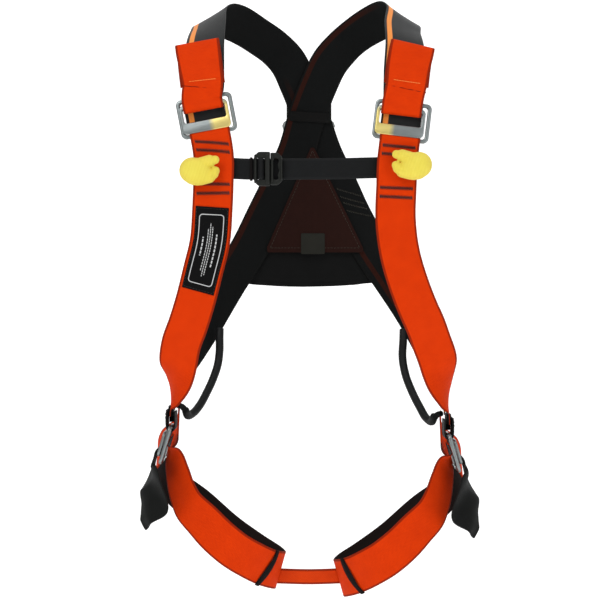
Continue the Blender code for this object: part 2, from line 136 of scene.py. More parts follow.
def adjuster_axes(turn_deg, out):
    """Across and up axes for a frame facing `out`, turned in its own plane."""
    n = Vector(out).normalized()
    side = Vector((0, 0, 1)).cross(n).normalized()
    up = n.cross(side)
    if up.z < 0:
        up = -up
    a = math.radians(turn_deg)
    x = side * math.cos(a) + up * math.sin(a)
    u = up * math.cos(a) - side * math.sin(a)
    return x, u, n


# routes of the webbing in millimetres, as in the CAD
STRAP_L = [(-117, -86.5, -101, -.05, -1, .17), (-117, -82, -83, -.08, -1, .22), (-117, -66, -54, -.2, -.9, .45),
           (-115, -36, -29, -.38, -.55, .75), (-112, -4, -14, -.5, 0, .87), (-97, 24, -13, -.62, .4, .6),
           (-78, 48, -18, -.6, .68, .32), (-59, 68, -28, -.5, .82, .15), (-40, 84, -40, -.25, .95, .05),
           (-24, 99, -56, 0, 1, 0), (-12, 105.6, -81, 0, 1, 0), (1, 106.7, -114, 0, 1, 0), (19, 106.7, -166, 0, 1, 0),
           (36, 106.7, -201, 0, 1, 0), (52, 106.7, -236, 0, 1, 0), (74, 104.5, -276, .05, 1, 0), (101, 95, -318, .35, .93, 0),
           (120, 83, -350, .55, .83, 0), (134, 67, -380, .72, .68, 0), (145, 45, -408, .87, .5, 0),
           (153, 22, -427, .98, .18, 0), (156.3, -2, -442, 1, .03, 0), (156.3, -22, -452, 1, 0, 0)]
STRAP_R = [(105.5, -86.5, -104, .05, -1, .17), (106, -81.5, -84, .08, -1, .22), (108, -66, -54, .2, -.9, .45),
           (107, -36, -30, .38, -.55, .75), (108, -4, -13, .5, 0, .87), (95, 24, -10, .62, .4, .6),
           (77, 50, -15, .6, .68, .32), (59, 72, -24, .5, .82, .15), (41, 89, -38, .25, .95, .05),
           (26, 95.5, -55, 0, 1, 0), (13, 101.2, -81, 0, 1, 0), (0, 103.8, -114, 0, 1, 0), (-16, 104, -166, 0, 1, 0),
           (-33, 104, -201, 0, 1, 0), (-50, 104, -235, 0, 1, 0), (-70, 103.6, -276, -.05, 1, 0),
           (-96, 94, -320, -.35, .93, 0), (-112, 82, -351, -.55, .83, 0), (-126, 66, -379, -.72, .68, 0),
           (-141, 44, -406, -.87, .5, 0), (-150.5, 22, -422, -.98, .18, 0), (-154.1, -2, -437, -1, .03, 0), (-154.1, -22, -446, -1, 0, 0)]
CHEST_L = [(-106, -102, -179, -.05, -1, .05), (-106, -104, -209, -.05, -1, 0), (-107, -104.5, -237, -.05, -1, 0),
           (-110, -104, -276, -.08, -1, -.03), (-118, -101, -309, -.1, -1, -.08), (-126, -96, -340, -.12, -1, -.1),
           (-135, -87, -368, -.12, -1, -.2), (-143, -77, -389, -.15, -1, -.3), (-147, -66, -409, -.25, -.95, -.35),
           (-149, -54, -428, -.62, -.75, -.2), (-152.5, -43.5, -444, -.92, -.38, -.05), (-156, -37.2, -456, -1, -.06, 0),
           (-156.3, -35.3, -465, -1, 0, 0), (-156.3, -35, -471, -1, 0, 0)]
CHEST_R = [(98, -102, -186, .05, -1, .05), (97, -104, -211, .05, -1, 0), (96, -104.5, -251, .05, -1, 0),
           (100, -104, -285, .08, -1, -.03), (113, -101, -329, .1, -1, -.08), (122, -95, -351, .12, -1, -.1),
           (130, -87, -368, .12, -1, -.2), (137, -77, -386, .15, -1, -.3), (145, -66, -407, .25, -.95, -.35),
           (149.5, -54, -428, .62, -.75, -.2), (154.5, -43.5, -447, .92, -.38, -.05), (158.2, -37.2, -461, 1, -.06, 0),
           (158.5, -35.3, -473, 1, 0, 0), (158.5, -35, -480, 1, 0, 0)]
LEG_L = [(-154, -37, -519, -.9, -.42, .1), (-149.5, -43, -536, -.78, -.62, 0), (-143.5, -53, -556, -.6, -.78, -.15),
         (-136, -63, -571, -.42, -.88, -.2), (-119, -72, -588, -.2, -.96, -.2), (-102, -76, -605, -.05, -.97, -.2),
         (-83, -73, -621, .1, -.96, -.25), (-65, -62, -633, .3, -.9, -.3), (-49, -43, -643, .5, -.8, -.33),
         (-37, -20, -649, .8, -.5, -.3), (-33, 2, -651.5, .9, -.05, -.25), (-41, 26, -648, .75, .5, -.3),
         (-66, 50, -635, .4, .85, -.25), (-99, 65, -613, .05, .97, -.2), (-131, 67, -584, -.35, .9, -.15),
         (-166, 55, -552, -.86, .5, -.08), (-177, 41, -530, -.98, .05, .02), (-170, 24, -509, -.96, -.22, .1),
         (-152.7, 8, -491, -1, .03, 0), (-149.7, -8, -479, -1, 0, 0), (-149.7, -11, -477, -1, 0, 0)]
LEG_TAIL_L = [(-178.6, -37, -532, -.98, -.06, .1), (-178.5, -47, -547, -.82, -.57, 0), (-176, -59, -566, -.7, -.71, 0),
              (-175.5, -65, -582, -.68, -.73, 0), (-176, -66, -592, -.68, -.73, 0)]
TAIL_L = [(-118, -103, -101, 0, -1, .1), (-121, -97, -80, -.05, -1, .2), (-125, -85, -54, -.1, -.95, .3)]
TAIL_R = [(108, -103, -101, 0, -1, .1), (111, -97, -80, .05, -1, .2), (116, -85, -56, .1, -.95, .3)]
GEAR_L = [(-104.5, 66, -374), (-105, 62, -385), (-105, 61, -399), (-107, 57, -416), (-112, 49, -432), (-119, 36, -448),
          (-127, 20, -463), (-134, 6, -471), (-139.4, -5, -473), (-141.6, -13, -466)]
GEAR_R = [(112, 66, -375), (112, 62, -386), (111, 60, -407), (114, 52, -427), (121, 38, -447), (129, 20, -464),
          (136.5, 6, -477), (142.0, -5, -480), (144.0, -13, -473)]
RIGHT_HIP = (2.2, -9.2)   # the wearer's left hip hangs a little lower and further out

# webbing over the large frame's near bar, in the adjuster's frame (mm)
BAR_U = -(LARGE_H - LARGE_BAR) / 2 * 1000
R_W = WRAP_R * 1000
LOOP = [(0, BAR_U - 9, -1.6, 0, 0, -1), (0, BAR_U - 3.5, -R_W + .4, 0, -.2, -1), (0, BAR_U, -R_W, 0, 0, -1)]
LOOP += [(0, BAR_U + R_W * math.sin(math.radians(a)), -R_W * math.cos(math.radians(a)),
          0, math.sin(math.radians(a)), -math.cos(math.radians(a))) for a in (36, 72, 108, 144)]
LOOP += [(0, BAR_U, R_W, 0, 0, 1), (0, BAR_U - 4.5, R_W - 1.0, 0, .2, 1), (0, BAR_U - 11, 1.5, 0, 0, 1)]
# adjustable webbing round the small frame's far bar
TOP_U = (SMALL_H / 2 - SMALL_TOP) * 1000 + .4 + .2
R_T = TURN_R * 1000
TURN = [(-2, TOP_U + 6.5, 4.4 - R_T, 0, 0, -1), (-2, TOP_U, 4.4 - R_T, 0, 0, -1)]
TURN += [(-2, TOP_U - R_T * math.sin(math.radians(a)), 4.4 - R_T * math.cos(math.radians(a)),
          0, -math.sin(math.radians(a)), -math.cos(math.radians(a))) for a in (36, 72, 108, 144)]
TURN += [(-2, TOP_U, 4.5 + R_T, 0, 0, 1), (-2, TOP_U + 7, 4.6 + R_T, 0, 0, 1)]


# ---------------------------------------------------------------- materials
class G:
    """A small helper for building procedural materials."""

    def __init__(self, name, rough=0.6, metal=0.0, spec=0.3, sheen=0.0, sheen_rough=0.5, coat=0.0):
        self.m = bpy.data.materials.new(name)
        self.m.use_nodes = True
        self.t = self.m.node_tree
        self.b = self.t.nodes["Principled BSDF"]
        self.b.inputs["Roughness"].default_value = rough
        self.b.inputs["Metallic"].default_value = metal
        self.b.inputs["Specular IOR Level"].default_value = spec
        self.b.inputs["Sheen Weight"].default_value = sheen
        self.b.inputs["Sheen Roughness"].default_value = sheen_rough
        self.b.inputs["Coat Weight"].default_value = coat

    def put(self, sock, v):
        if isinstance(v, bpy.types.NodeSocket):
            self.t.links.new(v, sock)
        elif isinstance(v, tuple) and len(v) == 3 and sock.type == "RGBA":
            sock.default_value = (*v, 1)
        else:
            sock.default_value = v

    def math(self, op, a, b=0.0, c=0.0, clamp=False):
        n = self.t.nodes.new("ShaderNodeMath")
        n.operation = op
        n.use_clamp = clamp
        self.put(n.inputs[0], a)
        self.put(n.inputs[1], b)
        self.put(n.inputs[2], c)
        return n.outputs[0]

    def mix(self, f, a, b, kind="MIX"):
        n = self.t.nodes.new("ShaderNodeMix")
        n.data_type = "RGBA"
        n.blend_type = kind
        n.clamp_factor = True
        self.put(n.inputs[0], f)
        self.put(n.inputs[6], a)
        self.put(n.inputs[7], b)
        return n.outputs[2]

    def uv(self):
        n = self.t.nodes.new("ShaderNodeUVMap")
        n.uv_map = "uv"
        s = self.t.nodes.new("ShaderNodeSeparateXYZ")
        self.t.links.new(n.outputs[0], s.inputs[0])
        return n.outputs[0], s.outputs[0], s.outputs[1]

    def obj(self):
        n = self.t.nodes.new("ShaderNodeTexCoord")
        s = self.t.nodes.new("ShaderNodeSeparateXYZ")
        self.t.links.new(n.outputs["Object"], s.inputs[0])
        return n.outputs["Object"], s.outputs[0], s.outputs[1], s.outputs[2]

    def noise(self, vec, scale, detail=3.0, rough=0.5, squash=None):
        if squash is not None:
            mp = self.t.nodes.new("ShaderNodeMapping")
            mp.inputs["Scale"].default_value = squash
            self.t.links.new(vec, mp.inputs["Vector"])
            vec = mp.outputs[0]
        n = self.t.nodes.new("ShaderNodeTexNoise")
        n.inputs["Scale"].default_value = scale
        n.inputs["Detail"].default_value = detail
        n.inputs["Roughness"].default_value = rough
        self.t.links.new(vec, n.inputs["Vector"])
        return n.outputs[0]

    def sine(self, a, pitch):
        """0..1 wave with that pitch in metres."""
        s = self.math("SINE", self.math("MULTIPLY", a, 2 * math.pi / pitch))
        return self.math("MULTIPLY_ADD", s, 0.5, 0.5)

    def band(self, a, lo, hi, soft=0.0004):
        """1 between lo and hi, soft at both ends."""
        up = self.math("MULTIPLY_ADD", self.math("SUBTRACT", a, lo), 1 / soft, 0.5, clamp=True)
        dn = self.math("MULTIPLY_ADD", self.math("SUBTRACT", hi, a), 1 / soft, 0.5, clamp=True)
        return self.math("MULTIPLY", up, dn)

    def bump(self, h, strength, dist):
        n = self.t.nodes.new("ShaderNodeBump")
        n.inputs["Strength"].default_value = strength
        n.inputs["Distance"].default_value = dist
        self.t.links.new(h, n.inputs["Height"])
        self.t.links.new(n.outputs[0], self.b.inputs["Normal"])

    def color(self, c):
        self.put(self.b.inputs["Base Color"], c)


def weave(g, half, pitch=0.0019, warp=0.00125):
    """Herringbone twill of heavy webbing: its height, 0..1, from lengthwise yarns and slanted picks."""
    vec, u, v = g.uv()
    fold = g.math("PINGPONG", g.math("ADD", v, 0.1), 0.0056)
    slant = g.sine(g.math("ADD", u, g.math("MULTIPLY", fold, 0.8)), pitch)
    yarn = g.sine(v, warp)
    h = g.math("ADD", g.math("MULTIPLY", slant, 0.55), g.math("MULTIPLY", yarn, 0.45))
    edge = g.band(g.math("ABSOLUTE", v), half - 0.0024, half + 0.004, 0.0008)
    return vec, u, v, h, edge


def webbing(name, dark, light, edge_col, half=0.0225, stripe=None, stripe_col=None, stripe_dark=None, rough=0.68,
            sheen=0.25, spec=0.22, tint=None, bump=0.00022, stripe_from=None):
    g = G(name, rough, 0.0, spec, sheen, 0.45)
    if tint:
        g.b.inputs["Sheen Tint"].default_value = (*tint, 1)
    vec, u, v, h, edge = weave(g, half)
    wear = g.noise(vec, 55, 4, 0.6)
    fuzz = g.noise(vec, 900, 2, 0.5, (0.35, 1, 1))
    f = g.math("ADD", g.math("MULTIPLY", h, 0.55), g.math("MULTIPLY", wear, 0.45))
    f = g.math("MULTIPLY_ADD", g.math("SUBTRACT", fuzz, 0.5), 0.35, f, clamp=True)
    col = g.mix(f, dark, light)
    col = g.mix(g.math("MULTIPLY", edge, 0.75), col, edge_col)
    if stripe is not None:
        s = g.band(v, stripe - 0.0029, stripe + 0.0029, 0.0005)
        if stripe_from:
            s = g.math("MULTIPLY", s, g.math("MULTIPLY_ADD", g.math("SUBTRACT", u, stripe_from), 20.0, 0.5, clamp=True))
        col = g.mix(s, col, g.mix(f, stripe_dark, stripe_col))
    g.color(col)
    hh = g.math("ADD", h, g.math("MULTIPLY", edge, -0.6))
    g.bump(g.math("MULTIPLY_ADD", fuzz, 0.35, hh), 0.55, bump)
    return g.m


OR_D, OR_L, OR_E = (0.42, 0.0190, 0.0006), (0.76, 0.0500, 0.0012), (0.13, 0.010, 0.003)
BK_D, BK_L, BK_E = (0.0040, 0.0048, 0.0050), (0.014, 0.0165, 0.0170), (0.010, 0.011, 0.0115)
M = {}
M["orange"] = webbing("webbing_orange_face", OR_D, OR_L, OR_E, tint=(1.0, 0.35, 0.1), sheen=0.02, spec=0.04)
M["inner"] = webbing("webbing_black_face", (0.005, 0.003, 0.003), (0.011, 0.006, 0.005), (0.012, 0.005, 0.004), sheen=0.0, spec=0.08)
ST = dict(stripe_col=(0.93, 0.33, 0.055), stripe_dark=(0.72, 0.20, 0.030))
# SD and IN are painted shade: a dark red stripe and a darker black, shaded copies of the striped webbing for the
# shoulder straps' inner faces seen across the back
SD = dict(stripe_col=(0.030, 0.0072, 0.004), stripe_dark=(0.016, 0.004, 0.0024))
IN = ((0.0030, 0.0034, 0.0034), (0.0065, 0.0070, 0.0070), (0.0060, 0.0060, 0.0058))
M["black_l"] = webbing("webbing_black_stripe_a", BK_D, BK_L, BK_E, stripe=0.0160, **ST, sheen=0.22)
M["black_r"] = webbing("webbing_black_stripe_b", BK_D, BK_L, BK_E, stripe=0.0172, **ST, sheen=0.22)
# inner faces of the shoulder straps: painted shade, darker copies of the striped webbing above, with a dark red stripe
# in place of the orange one
M["back_l"] = webbing("webbing_black_stripe_painted_shade_a", *IN, stripe=0.0120, **SD, sheen=0.0, spec=0.06, stripe_from=0.36)
M["back_r"] = webbing("webbing_black_stripe_painted_shade_b", *IN, stripe=0.0172, **SD, sheen=0.0, spec=0.06, stripe_from=0.235)
M["hip"] = webbing("webbing_black_plain", (0.003, 0.0033, 0.0033), (0.008, 0.009, 0.009), (0.007, 0.0075, 0.0075), sheen=0.02, spec=0.10)
M["tail_black"] = webbing("webbing_black_tail", (0.0028, 0.0031, 0.0030), (0.0080, 0.0088, 0.0084), (0.007, 0.0075, 0.007), sheen=0.02, spec=0.10)
M["strap"] = webbing("strap_black_narrow", (0.0040, 0.0043, 0.0046), (0.0085, 0.0092, 0.0097), (0.010, 0.0105, 0.011),
                     half=0.01175, sheen=0.02, spec=0.10)
M["seat"] = webbing("strap_orange_narrow", (0.44, 0.026, 0.001), (0.74, 0.060, 0.003), (0.13, 0.010, 0.003), half=0.009,
                    tint=(1.0, 0.35, 0.1), sheen=0.03, spec=0.08)


def yellow():
    g = G("webbing_yellow_roll", 0.55, 0.0, 0.3, 0.35, 0.5)
    g.b.inputs["Sheen Tint"].default_value = (1.0, 0.95, 0.6, 1)
    g.b.inputs["Subsurface Weight"].default_value = 0.10
    g.b.inputs["Subsurface Radius"].default_value = (0.006, 0.004, 0.001)
    g.b.inputs["Subsurface Scale"].default_value = 0.25
    vec, u, y, v = g.obj()
    rib = g.sine(g.math("MULTIPLY_ADD", v, 0.15, u), 0.0016)
    cross = g.sine(g.math("ADD", v, g.math("MULTIPLY", u, 0.5)), 0.0013)
    soft = g.noise(vec, 60, 3)
    h = g.math("ADD", g.math("MULTIPLY", rib, 0.6), g.math("MULTIPLY", cross, 0.4))
    f = g.math("ADD", g.math("MULTIPLY", h, 0.5), g.math("MULTIPLY", soft, 0.5))
    # painted shade and highlight: the rear of the roll (towards +y) is mixed to a darker, more orange yellow and its
    # front to a paler yellow
    low = g.math("MULTIPLY_ADD", y, -55.0, -5.9, clamp=True)
    g.color(g.mix(low, g.mix(f, (0.60, 0.36, 0.010), (0.80, 0.60, 0.030)), g.mix(f, (0.66, 0.52, 0.030), (0.86, 0.77, 0.120))))
    g.bump(h, 0.8, 0.0005)
    return g.m


def steel(name, base, painted_reflection=None):
    g = G(name, 0.26, 1.0, 0.5)
    vec, x, y, z = g.obj()
    brushed = g.noise(vec, 900, 3, 0.6, (0.12, 1.0, 1.0))
    blotch = g.noise(vec, 120, 4, 0.6)
    f = g.math("ADD", g.math("MULTIPLY", brushed, 0.5), g.math("MULTIPLY", blotch, 0.5))
    c = g.mix(f, tuple(c * 0.72 for c in base), base)
    # painted reflection: on one side, the lower part of the plate is mixed towards yellow, the yellow sternal loops
    # reflected in the steel
    if painted_reflection:
        sx, x0 = painted_reflection
        side = g.math("MULTIPLY_ADD", g.math("SUBTRACT", g.math("MULTIPLY", x, sx), x0), 160.0, 0.5, clamp=True)
        low = g.math("MULTIPLY_ADD", g.math("SUBTRACT", 0.010, y), 120.0, 0.5, clamp=True)
        c = g.mix(g.math("MULTIPLY", g.math("MULTIPLY", side, low), 0.85), c, (0.82, 0.66, 0.20))
    g.color(c)
    g.put(g.b.inputs["Roughness"], g.math("MULTIPLY_ADD", f, 0.12, 0.30))
    g.bump(g.math("ADD", brushed, g.math("MULTIPLY", blotch, 1.5)), 0.12, 0.0002)
    return g.m


def plastic(name, a, b, rough=0.42):
    g = G(name, rough, 0.0, 0.22)
    vec, x, y, z = g.obj()
    grain = g.noise(vec, 2600, 3, 0.6)
    blotch = g.noise(vec, 140, 3)
    g.color(g.mix(g.math("ADD", g.math("MULTIPLY", grain, 0.6), g.math("MULTIPLY", blotch, 0.4)), a, b))
    g.put(g.b.inputs["Roughness"], g.math("MULTIPLY_ADD", blotch, 0.22, rough - 0.08))
    g.bump(grain, 0.25, 0.0001)
    return g.m


def cloth(name, a, b, pitch=0.0011, sheen=0.15, rough=0.9, bump=0.0002):
    """Plain weave read from the piece's own x and z."""
    g = G(name, rough, 0.0, 0.15, sheen, 0.5)
    vec, x, y, z = g.obj()
    h = g.math("MULTIPLY", g.sine(x, pitch), g.sine(z, pitch))
    soft = g.noise(vec, 70, 4)
    fuzz = g.noise(vec, 1600, 2)
    f = g.math("ADD", g.math("MULTIPLY", h, 0.45), g.math("MULTIPLY", soft, 0.35))
    f = g.math("MULTIPLY_ADD", fuzz, 0.2, f)
    g.color(g.mix(f, a, b))
    g.bump(g.math("MULTIPLY_ADD", fuzz, 0.3, h), 0.6, bump)
    return g.m


def thread_mat(name, a, b):
    g = G(name, 0.6, 0.0, 0.3, 0.2)
    vec, x, y, z = g.obj()
    f = g.noise(vec, 2200, 3)
    g.color(g.mix(f, a, b))
    g.bump(f, 0.4, 0.0001)
    return g.m


M["yellow"] = yellow()
M["steel"] = steel("zinc_steel_plate", (0.27, 0.30, 0.30))
M["steel_left"] = steel("zinc_steel_plate_warm_a", (0.29, 0.32, 0.32), (1, 0.006))
M["steel_right"] = steel("zinc_steel_plate_warm_b", (0.29, 0.32, 0.32), (-1, 0.008))
M["rod"] = steel("zinc_steel_rod", (0.44, 0.47, 0.46))
M["plastic"] = plastic("plastic_black", (0.0045, 0.0052, 0.0042), (0.0095, 0.0110, 0.0088))
M["rubber"] = plastic("rubber_black", (0.0030, 0.0033, 0.0035), (0.0065, 0.0070, 0.0073), 0.55)
# back pad cover: black, made darker than the front webbing's black by painted shade
M["pad"] = cloth("pad_cover", (0.0028, 0.0030, 0.0030), (0.0068, 0.0070, 0.0070), sheen=0.0)
# back panel: an orange mesh coloured dark maroon, painted shade
M["panel"] = cloth("panel_cloth_painted_shade", (0.0110, 0.0030, 0.0019), (0.0230, 0.0056, 0.0033), 0.0014, sheen=0.0)
# back label: a grey label coloured near black, painted shade
M["grey"] = cloth("label_grey_painted_shade", (0.0125, 0.0125, 0.0100), (0.0255, 0.0255, 0.0205), 0.0009, sheen=0.0)
M["thread_black"] = thread_mat("thread_black", (0.006, 0.005, 0.005), (0.020, 0.017, 0.016))
M["thread_orange"] = thread_mat("thread_orange", (0.75, 0.16, 0.02), (0.95, 0.34, 0.05))
M["thread_dull"] = thread_mat("thread_dull", (0.020, 0.018, 0.012), (0.038, 0.034, 0.022))
M["band"] = cloth("keeper_band_cloth", (0.0035, 0.0025, 0.0025), (0.0080, 0.0055, 0.0052), 0.0012, sheen=0.0)
M["edge_fold"] = cloth("fold_shadow_edge", (0.075, 0.0050, 0.0015), (0.150, 0.0100, 0.0030), 0.0012, sheen=0.0)
M["bridge"] = cloth("bridge_black", (0.0030, 0.0030, 0.0028), (0.0062, 0.0062, 0.0058), 0.0012, sheen=0.0)


def label_mat(length, width):
    """Black woven label with a thin grey frame and plain grey lines in place of print."""
    g = G("label_black", 0.7, 0.0, 0.06, 0.0)
    vec, u, v = g.uv()
    du = g.math("SUBTRACT", g.math("ABSOLUTE", g.math("SUBTRACT", u, length / 2)), length / 2 - 0.0085 - 0.0035)
    dv = g.math("SUBTRACT", g.math("ABSOLUTE", v), width / 2 - 0.0050 - 0.0035)
    pu, pv = g.math("MAXIMUM", du, 0.0), g.math("MAXIMUM", dv, 0.0)
    d = g.math("SQRT", g.math("ADD", g.math("MULTIPLY", pu, pu), g.math("MULTIPLY", pv, pv)))
    d = g.math("ADD", d, g.math("MINIMUM", g.math("MAXIMUM", du, dv), 0.0))
    ring = g.band(d, 0.0035 - 0.00045, 0.0035 + 0.00045, 0.0003)
    out = ring
    for vc, lo, hi, wd, word in ((0.0070, 0.030, 0.066, 0.00075, 0.0042), (0.0020, 0.022, 0.076, 0.0004, 0.0030),
                                 (-0.0004, 0.018, 0.078, 0.0004, 0.0026), (-0.0028, 0.024, 0.072, 0.0004, 0.0034),
                                 (-0.0078, 0.034, 0.056, 0.0007, 0.0046)):
        line = g.math("MULTIPLY", g.band(v, vc - wd, vc + wd, 0.0003), g.band(u, lo, hi, 0.0004))
        gap = g.math("GREATER_THAN", g.sine(g.math("ADD", u, vc * 3), word), 0.16)
        out = g.math("MAXIMUM", out, g.math("MULTIPLY", line, gap))
    knit = g.noise(vec, 1400, 2)
    g.color(g.mix(g.math("MULTIPLY", out, 0.85), g.mix(knit, (0.0022, 0.0022, 0.0023), (0.0050, 0.0050, 0.0052)), (0.60, 0.61, 0.61)))
    g.bump(g.math("MULTIPLY_ADD", out, 0.6, knit), 0.3, 0.0001)
    return g.m


# ---------------------------------------------------------------- shapes
col = bpy.data.collections.new("harness_visual")
scene.collection.children.link(col)


def finish(ob, body, nodes=()):
    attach(ob, body)
    if nodes:
        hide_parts(*nodes)
    return ob


class Route:
    """A webbing route sampled finely: a point at a length s, a place v across it and a height h above its middle."""

    def __init__(self, rows, step=0.0025, smooth=0):
        self.fr = frames(rows, step)
        self.s = [0.0]
        for a, b in zip(self.fr, self.fr[1:]):
            self.s.append(self.s[-1] + (b[0] - a[0]).length)
        self.len = self.s[-1]
        self.wave = None

    def frame(self, s):
        s = min(max(s, 0.0), self.len)
        lo, hi = 0, len(self.s) - 1
        while hi - lo > 1:
            m = (lo + hi) // 2
            if self.s[m] <= s:
                lo = m
            else:
                hi = m
        t = (s - self.s[lo]) / max(self.s[hi] - self.s[lo], 1e-9)
        a, b = self.fr[lo], self.fr[hi]
        return tuple(a[i].lerp(b[i], t) for i in range(4))

    def p(self, s, v, h):
        c, t, w, n = self.frame(s)
        return c + w * v + n * (h + (self.wave(s, v) if self.wave else 0.0))

    def near(self, x=None, y=None, z=None):
        """The length at which the middle comes nearest to the given coordinates."""
        best, at = 1e9, 0.0
        for f, s in zip(self.fr, self.s):
            d = sum((f[0][i] - q) ** 2 for i, q in enumerate((x, y, z)) if q is not None)
            if d < best:
                best, at = d, s
        return at


def ribbon(name, route, mats, body, nodes=(), width=WEB_W, thick=WEB_T, k=14, offset=0.0, shift=0.0,
           trim=(0.0, 0.0), ends=None, cup=0.0, skew=(0.0, 0.0), reach=0.015, bow=0.0):
    """Woven webbing as one closed strip with rounded selvedges, outer and inner faces in their own materials."""
    e = thick / 2
    flat = width / 2 - e
    sec = [(-flat + 2 * flat * j / k, e, 0) for j in range(k + 1)]
    sec += [(flat + 0.7 * e, 0.7 * e, 0), (width / 2, 0.0, 0), (flat + 0.7 * e, -0.7 * e, 0)]
    sec += [(flat - 2 * flat * j / k, -e, 1) for j in range(k + 1)]
    sec += [(-flat - 0.7 * e, -0.7 * e, 0), (-width / 2, 0.0, 0), (-flat - 0.7 * e, 0.7 * e, 0)]
    m = len(sec)
    idx = [i for i, s in enumerate(route.s) if trim[0] <= s <= route.len - trim[1]]
    verts, uvs = [], []
    for q, i in enumerate(idx):
        c, t, w, n = route.fr[i]
        s = route.s[i]
        for v, h, _ in sec:
            bend = cup * (1 - (v / (width / 2)) ** 2)
            wv = route.wave(s, v) if route.wave else 0.0
            f = 1.0
            if ends:
                f = ends(s, v)
            slide = skew[0] * v * max(0.0, 1 - s / reach) + skew[1] * v * max(0.0, 1 - (route.len - s) / reach)
            slide += bow * (1 - (v / (width / 2)) ** 2)
            verts.append(c + t * slide + w * (shift + v * f) + n * (offset + h + wv + bend))
            uvs.append((s, v))
    faces, fm, fu = [], [], []
    rings = len(idx)
    for i in range(rings - 1):
        for j in range(m):
            a, b = i * m + j, i * m + (j + 1) % m
            faces.append((a, b, b + m, a + m))
            fm.append(1 if sec[j][1] + sec[(j + 1) % m][1] < 0 else 0)
    faces.append(tuple(range(m))[::-1])
    faces.append(tuple((rings - 1) * m + j for j in range(m)))
    fm += [0, 0]
    me = bpy.data.meshes.new(name)
    me.from_pydata([tuple(v) for v in verts], [], faces)
    for mt in (mats if isinstance(mats, tuple) else (mats, mats)):
        me.materials.append(mt)
    layer = me.uv_layers.new(name="uv")
    for poly, mi in zip(me.polygons, fm):
        poly.material_index = mi
        poly.use_smooth = True
        for li in poly.loop_indices:
            layer.data[li].uv = uvs[me.loops[li].vertex_index]
    bm = bmesh.new()
    bm.from_mesh(me)
    bmesh.ops.recalc_face_normals(bm, faces=bm.faces)
    for f in bm.faces:
        if len(f.verts) > 4:
            f.smooth = False
    bm.to_mesh(me)
    bm.free()
    ob = bpy.data.objects.new(name, me)
    col.objects.link(ob)
    if body:
        finish(ob, body, nodes)
    return ob


def threads(name, runs, radius, mt, body, res=1, cyclic=False):
    """Sewing thread laid along several runs of points, as one mesh."""
    cu = bpy.data.curves.new(name, "CURVE")
    cu.dimensions = "3D"
    cu.bevel_depth = radius
    cu.bevel_resolution = res
    cu.use_fill_caps = True
    for pts in runs:
        s = cu.splines.new("POLY")
        s.points.add(len(pts) - 1)
        for q, p in zip(s.points, pts):
            q.co = (*p, 1)
        s.use_cyclic_u = cyclic
    tmp = bpy.data.objects.new(name + "_run", cu)
    col.objects.link(tmp)
    dg = bpy.context.evaluated_depsgraph_get()
    dg.update()
    me = bpy.data.meshes.new_from_object(tmp.evaluated_get(dg))
    bpy.data.objects.remove(tmp, do_unlink=True)
    me.name = name
    me.materials.clear()
    me.materials.append(mt)
    for p in me.polygons:
        p.use_smooth = True
    ob = bpy.data.objects.new(name, me)
    col.objects.link(ob)
    return finish(ob, body, ())


def bar_run(route, s, v0, v1, h, wide=0.0026, pitch=0.00075, slope=0.0):
    """A zigzag bar tack across the webbing at length s; slope leans it along the webbing."""
    pts, n = [], max(4, round(abs(v1 - v0) / pitch))
    for i in range(n + 1):
        v = v0 + (v1 - v0) * i / n
        pts.append(route.p(s + slope * v + (wide / 2 if i % 2 else -wide / 2), v, h))
    return pts


def dashes(route, path, h, stitch=0.0028, gap=0.0012):
    """Straight lockstitch along (s, v) points on a route, one short run for each stitch."""
    runs = []
    for (s0, v0), (s1, v1) in zip(path, path[1:]):
        d = math.dist((s0, v0), (s1, v1))
        n = max(1, round(d / (stitch + gap)))
        for i in range(n):
            a, b = (i + 0.12) / n, (i + 0.12 + stitch / (stitch + gap)) / n
            q = []
            for k, lift in ((0, -0.00025), (0.2, 0.0), (0.5, 0.00012), (0.8, 0.0), (1, -0.00025)):
                f = a + (b - a) * k
                q.append(route.p(s0 + (s1 - s0) * f, v0 + (v1 - v0) * f, h + lift))
            runs.append(q)
    return runs


